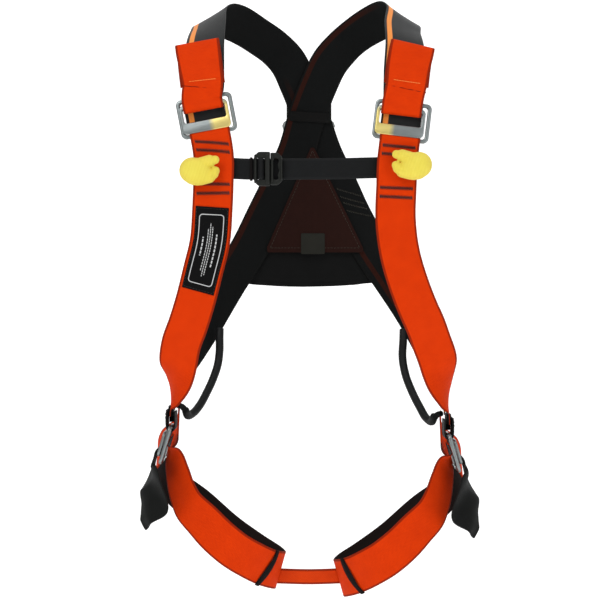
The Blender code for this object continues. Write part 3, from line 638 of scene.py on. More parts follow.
def tube(name, pts, radii, mt, body, nodes=(), seg=20, cyclic=False, flat=None, caps=True):
    """Round rod or roll along points; radii may change along it, and flat squeezes it across one direction."""
    P = [Vector(p) for p in pts]
    n = len(P)
    R = radii if isinstance(radii, list) else [radii] * n
    T = []
    for i in range(n):
        a, b = (P[i - 1], P[(i + 1) % n]) if cyclic else (P[max(i - 1, 0)], P[min(i + 1, n - 1)])
        T.append((b - a).normalized())
    ref = Vector((0, 1, 0)) if abs(T[0].y) < 0.8 else Vector((1, 0, 0))
    nv = (ref - T[0] * ref.dot(T[0])).normalized()
    N = [nv]
    for i in range(1, n):
        nv = (N[-1] - T[i] * N[-1].dot(T[i])).normalized()
        N.append(nv)
    verts, uvs, L = [], [], 0.0
    for i in range(n):
        if i:
            L += (P[i] - P[i - 1]).length
        B = T[i].cross(N[i])
        for j in range(seg):
            a = 2 * math.pi * j / seg
            o = N[i] * math.cos(a) + B * math.sin(a)
            if flat:
                d, amount = flat
                o = o - d * o.dot(d) * (1 - amount)
            verts.append(P[i] + o * R[i])
            uvs.append((L, a * max(R) if a <= math.pi else (2 * math.pi - a) * max(R)))
    faces = []
    for i in range(n if cyclic else n - 1):
        for j in range(seg):
            a, b = i * seg + j, i * seg + (j + 1) % seg
            c, d = ((i + 1) % n) * seg + (j + 1) % seg, ((i + 1) % n) * seg + j
            faces.append((a, b, c, d))
    if not cyclic and caps:
        faces.append(tuple(range(seg))[::-1])
        faces.append(tuple((n - 1) * seg + j for j in range(seg)))
    me = bpy.data.meshes.new(name)
    me.from_pydata([tuple(v) for v in verts], [], faces)
    me.materials.append(mt)
    layer = me.uv_layers.new(name="uv")
    for p in me.polygons:
        p.use_smooth = len(p.vertices) == 4
        for li in p.loop_indices:
            layer.data[li].uv = uvs[me.loops[li].vertex_index]
    bm = bmesh.new()
    bm.from_mesh(me)
    bmesh.ops.recalc_face_normals(bm, faces=bm.faces)
    bm.to_mesh(me)
    bm.free()
    ob = bpy.data.objects.new(name, me)
    col.objects.link(ob)
    return finish(ob, body, nodes) if body else ob


def round_rect(w, h, r, cx=0.0, cy=0.0, n=10):
    pts = []
    for qx, qy, a0 in ((1, 1, 0), (-1, 1, 90), (-1, -1, 180), (1, -1, 270)):
        for k in range(n + 1):
            a = math.radians(a0 + 90 * k / n)
            pts.append((cx + qx * (w / 2 - r) + r * math.cos(a), cy + qy * (h / 2 - r) + r * math.sin(a)))
    return pts


def plate(name, outlines, thick, mt, matrix, edge, body, nodes=(), res=4):
    """Flat part from 2D outlines with rounded edges; the first outline is the outside."""
    cu = bpy.data.curves.new(name, "CURVE")
    cu.dimensions = "2D"
    cu.fill_mode = "BOTH"
    cu.extrude = max(thick / 2 - edge, 0.00005)
    cu.bevel_depth = edge
    cu.bevel_resolution = res
    cu.offset = -edge
    for pts in outlines:
        s = cu.splines.new("POLY")
        s.points.add(len(pts) - 1)
        for q, (x, y) in zip(s.points, pts):
            q.co = (x, y, 0, 1)
        s.use_cyclic_u = True
    tmp = bpy.data.objects.new(name + "_outline", cu)
    col.objects.link(tmp)
    dg = bpy.context.evaluated_depsgraph_get()
    dg.update()
    me = bpy.data.meshes.new_from_object(tmp.evaluated_get(dg))
    bpy.data.objects.remove(tmp, do_unlink=True)
    bm = bmesh.new()
    bm.from_mesh(me)
    bmesh.ops.remove_doubles(bm, verts=bm.verts, dist=0.00001)
    bmesh.ops.recalc_face_normals(bm, faces=bm.faces)
    bm.to_mesh(me)
    bm.free()
    me.name = name
    me.materials.clear()
    me.materials.append(mt)
    for p in me.polygons:
        p.use_smooth = True
    me.set_sharp_from_angle(angle=math.radians(50))
    ob = bpy.data.objects.new(name, me)
    ob.matrix_world = matrix
    col.objects.link(ob)
    return finish(ob, body, nodes)


# ---------------------------------------------------------------- shoulders and chest
e = WEB_T / 2
adj = {}
for side, org, turn, out, strap, chest, tail, dx in (
        ("left", (-113.9, -96, -135), 11, (0, -1, .14), STRAP_L, CHEST_L, TAIL_L, -1),
        ("right", (103.4, -96, -141.3), -7, (0, -1, .14), STRAP_R, CHEST_R, TAIL_R, 1)):
    x, u, n = adjuster_axes(turn, out)
    m = basis(Vector(org) / 1000, x, u, n)
    adj[side] = m
    key = "l" if side == "left" else "r"
    # adjuster: stamped large frame behind, small frame in front
    plate("adjuster_large_" + side,
          [round_rect(LARGE_W, LARGE_H, 0.0062), round_rect(LARGE_W - 2 * LARGE_BAR, LARGE_H - 2 * LARGE_BAR, 0.0028)],
          LARGE_T, M["steel"], m, 0.0015, "torso", ["shoulder_large_frame_" + side])
    hole_h = SMALL_H - SMALL_LOW - SMALL_TOP
    plate("adjuster_small_" + side,
          [round_rect(SMALL_W, SMALL_H + 0.0044, 0.0055, 0, -0.0022),
           round_rect(SMALL_W - 2 * SMALL_SIDE, hole_h, 0.0024, 0, (SMALL_LOW - SMALL_TOP) / 2)],
          SMALL_T, M["steel_" + side], m @ Matrix.Translation((-0.002, 0.0004, 0.0044)), 0.0012,
          "shoulder_slider_" + side, ["shoulder_small_frame_" + side])
    # shoulder strap
    r = Route(local(m, [(-1, -11, -3.6, 0, 0, 1), (-1, 6, -3.6, 0, 0, 1), (-1, 22, -3.9, 0, 0, 1)]) + mm(strap))
    r.wave = lambda s, v: 0.00018 * math.sin(s * 95) * math.sin(v * 60 + s * 20)
    ribbon("strap_shoulder_" + side, r, (M["black_" + key], M["back_" + key]), "torso", ["shoulder_strap_" + side])
    adj["strap_" + side] = r
    # tail with its folded end: the end is turned under in a soft roll and sewn down
    t = local(m, TURN) + mm(tail)
    end, nor = Vector(t[-1][:3]), Vector(t[-1][3:6]).normalized()
    up = (Vector(t[-1][:3]) - Vector(t[-2][:3])).normalized()
    roll = 0.0033
    fold = [(*(end - nor * roll + (nor * math.cos(a) + up * math.sin(a)) * roll),
             *(nor * math.cos(a) + up * math.sin(a))) for a in (math.radians(k) for k in (30, 60, 90, 120, 150))]
    under = []
    for q, gap in zip(t[-3:][::-1], (2 * roll, 0.0048, 0.0026)):
        under.append((*(Vector(q[:3]) - Vector(q[3:6]).normalized() * gap), *(-Vector(q[3:6]))))
    r = Route(t + fold + under, 0.0015)
    s_step = min((abs(f[0].z + (0.1035 if side == "left" else 0.1055)), q) for f, q in zip(r.fr, r.s) if f[3].y < -0.5)[1]
    s_sew = s_step + 0.0078

    def tail_wave(q, v, a=s_step, b=s_sew, L=r.len, flip=dx):
        k = max(0.0, min(1.0, (q - a + 0.0010) / 0.0020))
        k = k * k * (3 - 2 * k)
        start = max(0.0, min(1.0, (q - 0.020) / 0.008))
        h = -0.0014 * (1 - k) * start - 0.0005 * math.exp(-((q - b) / 0.0013) ** 2)
        on = max(0.0, min(1.0, (q - 0.024) / 0.01)) * (1.0 if q < L * 0.62 else 0.0)
        h += on * 0.00016 * math.sin((q + flip * v * 0.55) * 2 * math.pi / 0.0052)
        h += on * 0.0005 * math.sin(q * 75 + v * 40) * math.cos(v * 70)
        return h
    r.wave = tail_wave
    ribbon("tail_shoulder_" + side, r, M["orange"], "torso", ["shoulder_tail_" + side], k=28,
           ends=lambda q, v, a=s_step: 1.0 + 0.11 * max(0.0, min(1.0, (q - a) / 0.045)))
    adj["tail_" + side] = r
    adj["sew_" + side] = s_sew
    adj["step_" + side] = s_step
    # chest strap
    front = mm(chest)
    rear = [(q[0], q[1] + 0.0026, q[2], -q[3], -q[4], -q[5]) for q in front[:2]][::-1]
    r = Route(rear + local(m, LOOP) + front)
    r.wave = lambda s, v: 0.00016 * math.sin(s * 70 + 1) * math.cos(v * 55) if s > 0.12 else 0.0
    ribbon("strap_chest_" + side, r, (M["orange"], M["inner"]), "torso", ["chest_strap_" + side])
    adj["chest_" + side] = r

# bar tacks that close the chest straps' upper loops
for side, rows in (("left", ((-0.1655, .26), (-0.1735, .2), (-0.2115, .0), (-0.2205, -.05))),
                   ("right", ((-0.1700, -.03), (-0.1785, -.03), (-0.2165, -.01), (-0.2260, .0)))):
    r = adj["chest_" + side]
    runs = []
    for z, slope in rows:
        cand = [(abs(f[0].z - z), s) for f, s in zip(r.fr, r.s) if f[3].y < -0.5 and s > 0.03]
        s = min(cand)[1]
        for off in (-0.0008, 0.0008):
            runs.append(bar_run(r, s + off, -0.0180, 0.0180, e + 0.0003, 0.0021, 0.0008, slope))
    threads("bar_tacks_chest_" + side, runs, 0.0005, M["thread_black"], "torso")

# stitch lines that hold the turned ends of the shoulder tails, and a painted shadow line along the step where the
# turned-under layer ends
for side in ("left", "right"):
    r, q = adj["tail_" + side], adj["sew_" + side]
    runs = dashes(r, [(q, -0.0150), (q, 0.0150)], e + 0.0003, 0.0021, 0.0009)
    threads("stitching_tail_" + side, runs, 0.00040, M["thread_orange"], "torso")
    # a dark red strip laid along the step: painted shadow line
    low = adj["step_" + side]
    runs = [[r.p(low, v, e + 0.0001 - 0.0007) for v in (-0.0232, -0.0116, 0.0, 0.0116, 0.0232)]]
    threads("fold_shadow_line_" + side, runs, 0.00062, M["edge_fold"], "torso")

# identification label
sel = mm(CHEST_L)[2:6]
rows = sel[:3] + [tuple(p * .68 + q * .32 for p, q in zip(sel[3], sel[2]))]
lab = Route(rows)
M["label"] = label_mat(lab.len, LABEL_W)
ribbon("label_identification", lab, M["label"], "torso", ["id_label"], width=LABEL_W, thick=0.0008,
       offset=WEB_T / 2 + 0.0007)
runs = dashes(lab, [(0.002, -0.0172), (lab.len - 0.002, -0.0172), (lab.len - 0.002, 0.0172), (0.002, 0.0172), (0.002, -0.0172)],
              WEB_T / 2 + 0.0012, 0.0022, 0.0012)
threads("stitching_label", runs, 0.0002, M["thread_black"], "torso")

# ---------------------------------------------------------------- chest connecting strap and its buckle
BY, BZ, BX = -0.1000, -0.1945, -0.0522
left = [(-0.112, -0.0962, -0.192, 0, -1, 0), (-0.098, -0.0962, -0.1928, 0, -1, 0), (-0.080, -0.0975, -0.1940, 0, -1, 0),
        (-0.068, -0.0972, -0.1945, 0, -1, 0), (-0.0605, -0.0968, -0.1945, 0, -1, 0), (-0.0572, -0.0982, -0.1945, -.5, -.85, 0),
        (-0.0560, -0.1025, -0.1945, -.8, -.6, 0), (-0.0535, -0.1046, -0.1945, 0, -1, 0), (-0.0511, -0.1025, -0.1945, .8, -.6, 0),
        (-0.0503, -0.0985, -0.1945, .8, -.6, 0), (-0.0492, -0.0962, -0.1945, .3, -.95, 0)]
right = [(-0.0462, -0.0958, -0.1945, 0, -1, 0), (-0.036, -0.0958, -0.1945, 0, -1, 0), (-0.0285, -0.0960, -0.1945, 0, -1, 0),
         (-0.0225, -0.0972, -0.1945, 0, -1, 0), (0.0172, -0.0975, -0.1943, 0, -1, 0), (0.07, -0.0966, -0.1930, 0, -1, 0),
         (0.110, -0.0962, -0.192, 0, -1, 0)]
rl = Route(left, 0.0012)
ribbon("strap_sternum_left", rl, M["strap"], "torso", ["sternum_strap_left"], width=CHEST_STRAP_W, thick=0.0016, k=10)
rr = Route(right, 0.0025)
rr.wave = lambda s, v: 0.0005 * math.sin(s * 48)
ribbon("strap_sternum_right", rr, M["strap"], "torso", ["sternum_strap_right"], width=CHEST_STRAP_W, thick=0.0016, k=10)
# elastic keeper on the free end beside the buckle
kb = basis(Vector((BX, BY, BZ)), Vector((1, 0, 0)), Vector((0, 0, 1)), Vector((0, -1, 0)))


def chamfer(w, h, cx, cy, c):
    """Rectangle with cut corners: c gives the cut at each corner, from the top right, anticlockwise."""
    x0, x1, y0, y1 = cx - w / 2, cx + w / 2, cy - h / 2, cy + h / 2
    a, b, d, f = c
    return [(x1, y1 - a), (x1 - a, y1), (x0 + b, y1), (x0, y1 - b), (x0, y0 + d), (x0 + d, y0), (x1 - f, y0), (x1, y0 + f)]


def soften(pts, r=0.0022, n=5):
    """Rounds the corners of a closed outline."""
    out = []
    m = len(pts)
    for i in range(m):
        p, q, s = Vector(pts[i - 1]), Vector(pts[i]), Vector(pts[(i + 1) % m])
        a, b = (p - q), (s - q)
        k = min(r, a.length * 0.45, b.length * 0.45)
        a, b = q + a.normalized() * k, q + b.normalized() * k
        for j in range(n + 1):
            t = j / n
            out.append(tuple(a * (1 - t) ** 2 + q * 2 * t * (1 - t) + b * t ** 2))
    return out


frame_out = soften(chamfer(0.018, 0.038, 0, 0, (0.001, 0.005, 0.005, 0.001)), 0.002)
plate("buckle_frame", [frame_out, round_rect(0.0030, 0.0240, 0.0010, -0.0046), round_rect(0.0026, 0.0240, 0.0010, 0.0018)],
      0.0062, M["plastic"], kb, 0.0011, "torso", ["sternum_buckle_frame"])
hook_out = soften(chamfer(0.0135, 0.036, 0, 0, (0.0052, 0.001, 0.001, 0.0052)), 0.0025)
wavy = [(-0.0034, -0.0116), (-0.0034, 0.0116), (-0.0008, 0.0122), (0.0022, 0.0108), (0.0026, 0.0082), (0.0012, 0.0050), (0.0016, 0.0018),
        (0.0032, -0.0010), (0.0020, -0.0045), (0.0010, -0.0075), (0.0024, -0.0102), (0.0006, -0.0120)]
plate("buckle_hook", [hook_out, soften(wavy[::-1], 0.0014)], 0.0058, M["plastic"], kb @ Matrix.Translation((0.0161, 0, 0)), 0.0011,
      "torso", ["sternum_buckle_hook"])
for i, (bx, w, hgt, lift) in enumerate(((-0.0073, 0.0028, 0.0320, 0.0030), (0.0060, 0.0052, 0.0330, 0.0034), (0.0112, 0.0026, 0.0290, 0.0030),
                                        (0.0214, 0.0024, 0.0240, 0.0030))):
    plate(f"buckle_rib_{i + 1}", [round_rect(w, hgt, min(w / 2.2, 0.0016))], 0.0026, M["plastic"],
          kb @ Matrix.Translation((bx, 0, lift)), 0.0011, "torso", ())
plate("keeper_sternum", [round_rect(0.0032, 0.0262, 0.0010)], 0.0044, M["band"], basis(Vector((-0.0642, -0.0970, -0.1945)), Vector((1, 0, 0)),
      Vector((0, 0, 1)), Vector((0, -1, 0))), 0.0009, "torso", ())

# ---------------------------------------------------------------- rolled sternal loops
BALLS = [((-125.6, -198.3), (-125.6, -198.3), 15.4), ((-128.8, -197.0), (-122.6, -199.4), 14.6), ((-122, -190.2), (-110, -186.8), 7.0),
         ((-112, -187.2), (-103.6, -185.4), 4.9), ((-119, -206.0), (-110.5, -203.8), 7.6), ((-110.5, -203.6), (-105.8, -200.8), 6.2),
         ((-105.6, -200.6), (-103.2, -197.4), 4.9)]
for side in ("left", "right"):
    bm = bmesh.new()
    for (ax, az), (bx, bz), rad in BALLS:
        n_ = max(1, round(math.hypot(bx - ax, bz - az) / 1.5))
        for i in range(n_ + 1):
            x, z = ax + (bx - ax) * i / n_, az + (bz - az) * i / n_
            if side == "right":
                x, z = -x - 7.4, z + 6.1
            deep = 0.60 if rad > 10 else 0.80
            bmesh.ops.create_icosphere(bm, subdivisions=3, radius=rad / 1000,
                                       matrix=Matrix.Translation((x / 1000, -0.1166, z / 1000)) @ Matrix.Diagonal((1, deep, 1, 1)))
    me = bpy.data.meshes.new("loop_sternal_" + side)
    bm.to_mesh(me)
    bm.free()
    ob = bpy.data.objects.new("loop_sternal_" + side, me)
    col.objects.link(ob)
    me.materials.append(M["yellow"])
    vox = ob.modifiers.new("merge", "REMESH")
    vox.mode = "VOXEL"
    vox.voxel_size = 0.0009
    sm = ob.modifiers.new("smooth", "SMOOTH")
    sm.factor, sm.iterations = 0.5, 5
    bpy.context.view_layer.update()
    fixed = bpy.data.meshes.new_from_object(ob.evaluated_get(bpy.context.evaluated_depsgraph_get()))
    ob.modifiers.clear()
    ob.data = fixed
    fixed.materials.clear()
    fixed.materials.append(M["yellow"])
    fixed.shade_smooth()
    finish(ob, "sternal_loop_" + side, ["sternal_loop_" + side])

# ---------------------------------------------------------------- back
pad = [(-12, -160), (15, -160), (46, -206), (74, -256), (97, -292), (91, -318), (45, -323), (-8, -324.5), (-50, -323),
       (-82, -320), (-91, -292), (-68, -256), (-42, -206)]
outline = soften([(a / 1000, b / 1000) for a, b in pad], 0.010, 6)


def edge_distance(x, z):
    d = 1.0
    for (ax, az), (bx, bz) in zip(outline, outline[1:] + outline[:1]):
        ex, ez = bx - ax, bz - az
        t = max(0.0, min(1.0, ((x - ax) * ex + (z - az) * ez) / max(ex * ex + ez * ez, 1e-12)))
        d = min(d, math.hypot(x - ax - ex * t, z - az - ez * t))
    return d


pm = basis(Vector((0, PAD_Y + PAD_T / 2, 0)), Vector((1, 0, 0)), Vector((0, 0, 1)), Vector((0, -1, 0)))
cu = bpy.data.curves.new("pad_outline", "CURVE")
cu.dimensions = "2D"
cu.fill_mode = "BOTH"
cu.extrude = 0.0021
sp = cu.splines.new("POLY")
sp.points.add(len(outline) - 1)
for q, (a, b) in zip(sp.points, outline):
    q.co = (a, b, 0, 1)
sp.use_cyclic_u = True
tmp = bpy.data.objects.new("pad_outline", cu)
tmp.matrix_world = pm
col.objects.link(tmp)
dg = bpy.context.evaluated_depsgraph_get()
dg.update()
me = bpy.data.meshes.new_from_object(tmp.evaluated_get(dg))
me.transform(pm)
bpy.data.objects.remove(tmp, do_unlink=True)
ob = bpy.data.objects.new("pad_back", me)
col.objects.link(ob)
rm = ob.modifiers.new("remesh", "REMESH")
rm.mode = "VOXEL"
rm.voxel_size = 0.0021
dg = bpy.context.evaluated_depsgraph_get()
dg.update()
fine = bpy.data.meshes.new_from_object(ob.evaluated_get(dg))
ob.modifiers.clear()
ob.data = fine
fine.materials.clear()
fine.materials.append(M["pad"])
mid = PAD_Y + PAD_T / 2
for v in fine.vertices:
    d = edge_distance(v.co.x, v.co.z)
    side = 1 if v.co.y > mid else -1
    swell = 0.0010 * (1 - math.exp(-max(d - 0.004, 0) / 0.008)) if d > 0.004 else 0.0
    seam = -0.0008 * math.exp(-((d - 0.0055) / 0.0011) ** 2)
    soft = 0.00025 * math.sin(v.co.x * 120 + v.co.z * 60) * math.sin(v.co.z * 95)
    if abs(v.co.y - mid) > 0.001:
        v.co.y = mid + side * (0.0019 + swell + seam + (soft if side < 0 else 0.0))
for p in fine.polygons:
    p.use_smooth = True
finish(ob, "torso", ["back_pad"])

pan_m = basis(Vector((0, 0.1016, 0)), Vector((1, 0, 0)), Vector((0, 0, 1)), Vector((0, -1, 0)))
panel = [(7, -157), (66, -278), (65, -283), (-49, -283), (-50, -278), (3, -157)]
plate("panel_back", [soften([(a / 1000, b / 1000) for a, b in reversed(panel)], 0.0025)], 0.0009, M["panel"], pan_m, 0.0003, "torso",
      ["back_panel"])
lab_m = basis(Vector((0, 0.1004, 0)), Vector((1, 0, 0)), Vector((0, 0, 1)), Vector((0, -1, 0)))
plate("label_back", [round_rect(0.0285, 0.0250, 0.0015, 0.0055, -0.2725)], 0.0006, M["grey"], lab_m, 0.00025, "torso",
      ["back_label"])
edge = [(5, -161), (61.5, -277.5), (-45.5, -277.5), (5, -161)]
runs = []
for (ax, az), (bx, bz) in zip(edge, edge[1:]):
    n_ = round(math.hypot(bx - ax, bz - az) / 4.0)
    for i in range(n_):
        f0, f1 = (i + .1) / n_, (i + .8) / n_
        runs.append([((ax + (bx - ax) * f) / 1000, 0.1010, (az + (bz - az) * f) / 1000) for f in (f0, (f0 + f1) / 2, f1)])
threads("stitching_panel", runs, 0.00022, M["thread_dull"], "torso")
# bridge of the dorsal plate across the crossing, and the tacks of the crossing strap below it
plate("bridge_dorsal", [round_rect(0.050, 0.0120, 0.003)], 0.0014, M["bridge"],
      basis(Vector((0.0018, 0.1016, -0.1205)), Vector((math.cos(.06), 0, -math.sin(.06))), Vector((math.sin(.06), 0, math.cos(.06))),
            Vector((0, -1, 0))), 0.0006, "torso", ())
r = adj["strap_left"]
runs = []
for z in (-0.2080, -0.2170, -0.2255, -0.2340):
    q = min((abs(f[0].z - z), t) for f, t in zip(r.fr, r.s) if f[0].y > 0.09)[1]
    runs.append(bar_run(r, q, -0.0190, 0.0035, -e - 0.0003, 0.0022, 0.0008, -0.85))
threads("bar_tacks_back", runs, 0.00042, M["thread_dull"], "torso")

# dorsal plate, ring and its keeper
dp = basis(Vector((0.0008, 0.1100, -0.1200)), Vector((1, 0, 0)), Vector((0, 0, 1)), Vector((0, -1, 0)))
plate("plate_dorsal", [round_rect(0.054, 0.058, 0.009), round_rect(0.034, 0.004, 0.0018, 0, 0.021),
                       round_rect(0.034, 0.004, 0.0018, 0, -0.021)],
      0.0030, M["plastic"], dp, 0.0010, "torso", ["dorsal_plate"])
hx, hy, hz = RING_HINGE
ring = [(hx + a, hy, hz) for a in (-0.024, -0.016, -0.008, 0, 0.008, 0.016, 0.024)]
ring += [(hx + 0.0245 + 0.0045 * math.sin(math.radians(a)), hy, hz - 0.0045 + 0.0045 * math.cos(math.radians(a))) for a in (20, 45, 70)]
ring += [(hx + 0.029 * math.cos(math.radians(a)), hy, hz - 0.026 + 0.029 * math.sin(math.radians(a)) * 1.25) for a in range(28, -209, -8)
         if hz - 0.026 + 0.029 * math.sin(math.radians(a)) * 1.25 < hz - 0.005]
ring += [(hx - 0.0245 - 0.0045 * math.sin(math.radians(a)), hy, hz - 0.0045 + 0.0045 * math.cos(math.radians(a))) for a in (70, 45, 20)]
tube("ring_dorsal", ring, RING_ROD, M["rod"], "dorsal_ring", ["dorsal_ring"], seg=24, cyclic=True)
kr = [(hx, 0.1127, hz - 0.020, 0, 1, 0), (hx, 0.1129, hz - 0.010, 0, 1, -.1), (hx, 0.1165, hz - 0.0062, 0, .6, -.8)]
kr += [(hx, hy + 0.0052 * math.cos(math.radians(a)), hz + 0.0052 * math.sin(math.radians(a)), 0, math.cos(math.radians(a)),
        math.sin(math.radians(a))) for a in (-75, -45, -15, 15, 45, 75)]
kr += [(hx, 0.1165, hz + 0.0062, 0, .6, .8), (hx, 0.1129, hz + 0.010, 0, 1, .1), (hx, 0.1127, hz + 0.018, 0, 1, 0)]
krt = Route(kr, 0.0012)
ribbon("keeper_ring", krt, M["band"], "torso", ["ring_keeper"], width=0.026, thick=0.0014, k=10)
runs = [bar_run(krt, s, -0.011, 0.011, 0.0009, 0.002, 0.0008) for s in (0.004, 0.008, krt.len - 0.004, krt.len - 0.008)]
threads("bar_tacks_ring_keeper", runs, 0.0004, M["thread_black"], "torso")

# ---------------------------------------------------------------- gear loops
for side, rows in (("left", GEAR_L), ("right", GEAR_R)):
    sx = -1 if side == "left" else 1
    pts = spline(mm(rows), 0.003)
    n = len(pts)
    rad = [0.0047 * (1 - 0.10 * max(0, 1 - i / 4) - 0.10 * max(0, 1 - (n - 1 - i) / 4)) for i in range(n)]
    tube("loop_gear_" + side, [tuple(p[:3]) for p in pts], rad, M["rubber"], "torso", ["gear_loop_" + side], seg=20)
    dz = 0.0 if side == "left" else RIGHT_HIP[1] / 1000
    x0 = abs(rows[-1][0]) / 1000
    tab = spline([(sx * x0, -0.0122, -0.4672 + dz, 0.0036), (sx * (x0 + 0.0035), -0.0150, -0.4625 + dz, 0.0034),
                  (sx * (x0 + 0.0082), -0.0195, -0.4608 + dz, 0.0032)], 0.0015)
    tube("tab_gear_" + side, [q[:3] for q in tab], [q[3] for q in tab], M["hip"], "torso", [], seg=12)

# ---------------------------------------------------------------- hips and leg loops
for side in ("left", "right"):
    sx = -1 if side == "left" else 1
    dx, dz = (0.0, 0.0) if side == "left" else RIGHT_HIP

    def hip(rows):
        return mm(rows) if side == "left" else mm(mirror(rows, dx, dz))
    out = Vector((sx * .961, 0, .277))
    up = Vector((sx * .277, 0, -.961))
    across = up.cross(out)
    org = (sx * 161.9 + dx, HIP_Y * 1000, -503.4 + dz)
    m = basis(Vector(org) / 1000, across, up, out)
    plate("hip_adjuster_large_" + side,
          [round_rect(LARGE_W, LARGE_H, 0.0062), round_rect(LARGE_W - 2 * LARGE_BAR, LARGE_H - 2 * LARGE_BAR, 0.0028)],
          LARGE_T, M["steel"], m, 0.0015, "leg_loops", ["hip_large_frame_" + side])
    hole_h = SMALL_H - SMALL_LOW - SMALL_TOP
    plate("hip_adjuster_small_" + side,
          [round_rect(SMALL_W, SMALL_H, 0.0055),
           round_rect(SMALL_W - 2 * SMALL_SIDE, hole_h, 0.0024, 0, (SMALL_LOW - SMALL_TOP) / 2)],
          SMALL_T, M["steel"], m @ Matrix.Translation((-0.002, 0.0004, 0.0044)), 0.0012,
          "hip_slider_" + side, ["hip_small_frame_" + side])
    bar = m @ Vector((0, BAR_U / 1000, 0))
    wrap = [(bar.x + sx * WRAP_R * math.cos(math.radians(a)), HIP_Y, bar.z - WRAP_R * math.sin(math.radians(a)),
             sx * math.cos(math.radians(a)), 0, -math.sin(math.radians(a))) for a in range(0, 181, 20)]
    top = -0.4645 + dz / 1000
    r = Route([(wrap[0][0], HIP_Y, top, sx, 0, 0)] + wrap + [(wrap[-1][0], HIP_Y, top - 0.002, -sx, 0, 0)], 0.0015)
    ribbon("loop_hip_" + side, r, M["hip"], "leg_loops", ["hip_loop_" + side])
    runs = [bar_run(r, s, -0.019, 0.019, e + 0.0002, 0.002, 0.0008) for s in (0.0045, 0.0085)]
    threads("bar_tacks_hip_" + side, runs, 0.00045, M["thread_black"], "leg_loops")
    r = Route(local(m, [(0, -11, -3.5, 0, 0, 1), (0, 3, -3.5, 0, 0, 1)]) + hip(LEG_L))
    r.wave = lambda s, v: 0.00022 * math.sin(s * 60) * math.cos(v * 50 + s * 12)
    ribbon("strap_leg_" + side, r, (M["orange"], M["inner"]), "leg_loops", ["leg_strap_" + side])
    adj["leg_" + side] = r
    r = Route(local(m, TURN) + hip(LEG_TAIL_L))

    def crumple(q, v, L=r.len, sx=sx):
        k = max(0.0, min(1.0, (q - 0.022) / 0.025))
        return k * (0.0022 * math.sin(v * sx * 150 + q * 70 + 0.6) + 0.0010 * math.sin(q * 130 + v * sx * 60))
    r.wave = crumple
    ribbon("tail_leg_" + side, r, M["tail_black"], "leg_loops", ["leg_tail_" + side], k=26,
           skew=(0.0, 0.34 * sx), reach=0.030,
           ends=lambda q, v, L=r.len: 1.0 - 0.45 * max(0.0, min(1.0, (q - L + 0.014) / 0.014)) ** 2)
    k = hip([(-50.2, -44.6, -642.4, .5, -.8, -.33), (-47.2, -40.1, -644.2, .54, -.75, -.33)])
    ribbon("keeper_leg_" + side, Route(k, 0.0015), M["band"], "leg_loops", ["leg_keeper_" + side], width=0.047,
           thick=0.0014, offset=WEB_T / 2 + 0.0012, bow=0.0052, cup=0.0006)

x1 = (33 + RIGHT_HIP[0]) / 1000
z1 = -0.6555 + RIGHT_HIP[1] / 1000
sub = Route([(-0.0350, 0.004, -0.6590, 0, -1, -.1), (-0.015, 0.004, -0.6597, 0, -1, -.1), (0.0, 0.004, -0.6600, 0, -1, -.1),
             (0.016, 0.004, -0.6597, 0, -1, -.1), (x1 - 0.0006, 0.004, -0.6590, 0, -1, -.1)])
ribbon("strap_sub_pelvic", sub, M["seat"], "leg_loops", ["sub_pelvic_strap"], width=SEAT_STRAP_W, thick=0.0016, k=8,
       skew=(0.28, -0.28))

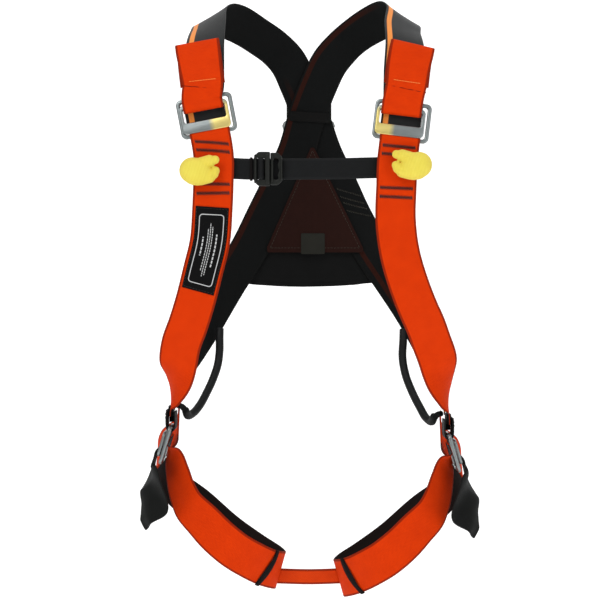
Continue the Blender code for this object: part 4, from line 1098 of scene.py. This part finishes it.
# the chest straps' lower ends are doubled up between the two legs of each hip loop
for side in ("left", "right"):
    sx = -1 if side == "left" else 1
    dx, dz = (0.0, 0.0) if side == "left" else (RIGHT_HIP[0] / 1000, RIGHT_HIP[1] / 1000)
    hx = sx * (0.1563 + dx)
    for name, y0, wide, z0, z1_ in (("end_cover_", -0.035, 0.0320, -0.4600, -0.4715), ("end_tongue_", -0.027, 0.0110, -0.4708, -0.4790)):
        plate(name + side, [round_rect(wide, z0 - z1_, 0.0008)], 0.0054, M["hip"],
              basis(Vector((hx, y0, (z0 + z1_) / 2 + dz)), Vector((0, 1, 0)), Vector((0, 0, 1)), Vector((1, 0, 0))), 0.0004,
              "torso", ())

# ---------------------------------------------------------------- stage
def stage_material():
    g = G("stage_paper", 0.9, 0.0, 0.1)
    vec, x, y, z = g.obj()
    f = g.noise(vec, 3, 2)
    g.color(g.mix(f, (0.90, 0.90, 0.90), (0.94, 0.94, 0.94)))
    g.b.inputs["Emission Color"].default_value = (1, 1, 1, 1)
    g.b.inputs["Emission Strength"].default_value = 0.50
    return g.m


prof = [(-3.5, -0.80), (3.2, -0.80)]
prof += [(3.2 + 0.5 * math.sin(math.radians(a)), -0.80 + 0.5 - 0.5 * math.cos(math.radians(a))) for a in range(10, 91, 10)]
prof += [(3.7, 0.6), (3.7, 3.2)]
verts, faces = [], []
for y, z in prof:
    verts += [(-4.5, y, z), (4.5, y, z)]
for i in range(len(prof) - 1):
    faces.append((2 * i, 2 * i + 1, 2 * i + 3, 2 * i + 2))
me = bpy.data.meshes.new("stage_sweep")
me.from_pydata(verts, [], faces)
me.materials.append(stage_material())
for p in me.polygons:
    p.use_smooth = True
sweep = bpy.data.objects.new("stage_sweep", me)
scene.collection.objects.link(sweep)


def area(name, loc, target, size, power, color=(1, 1, 1)):
    li = bpy.data.lights.new(name, "AREA")
    li.shape = "RECTANGLE"
    li.size, li.size_y = size
    li.energy = power
    li.color = color
    ob = bpy.data.objects.new(name, li)
    ob.location = loc
    ob.rotation_euler = (Vector(target) - Vector(loc)).to_track_quat("-Z", "Y").to_euler()
    scene.collection.objects.link(ob)
    return ob


area("light_key", (-0.9, -1.7, 1.2), (0, 0, -0.15), (1.2, 1.2), 24)
area("light_fill", (1.3, -1.8, 0.2), (0, 0, -0.35), (1.3, 1.6), 12)
area("light_top", (0.0, 0.1, 1.5), (0, 0, -0.3), (1.6, 1.2), 11)
world = bpy.data.worlds.new("studio")
scene.world = world
world.use_nodes = True
world.node_tree.nodes["Background"].inputs[0].default_value = (1, 1, 1, 1)
world.node_tree.nodes["Background"].inputs[1].default_value = 0.38
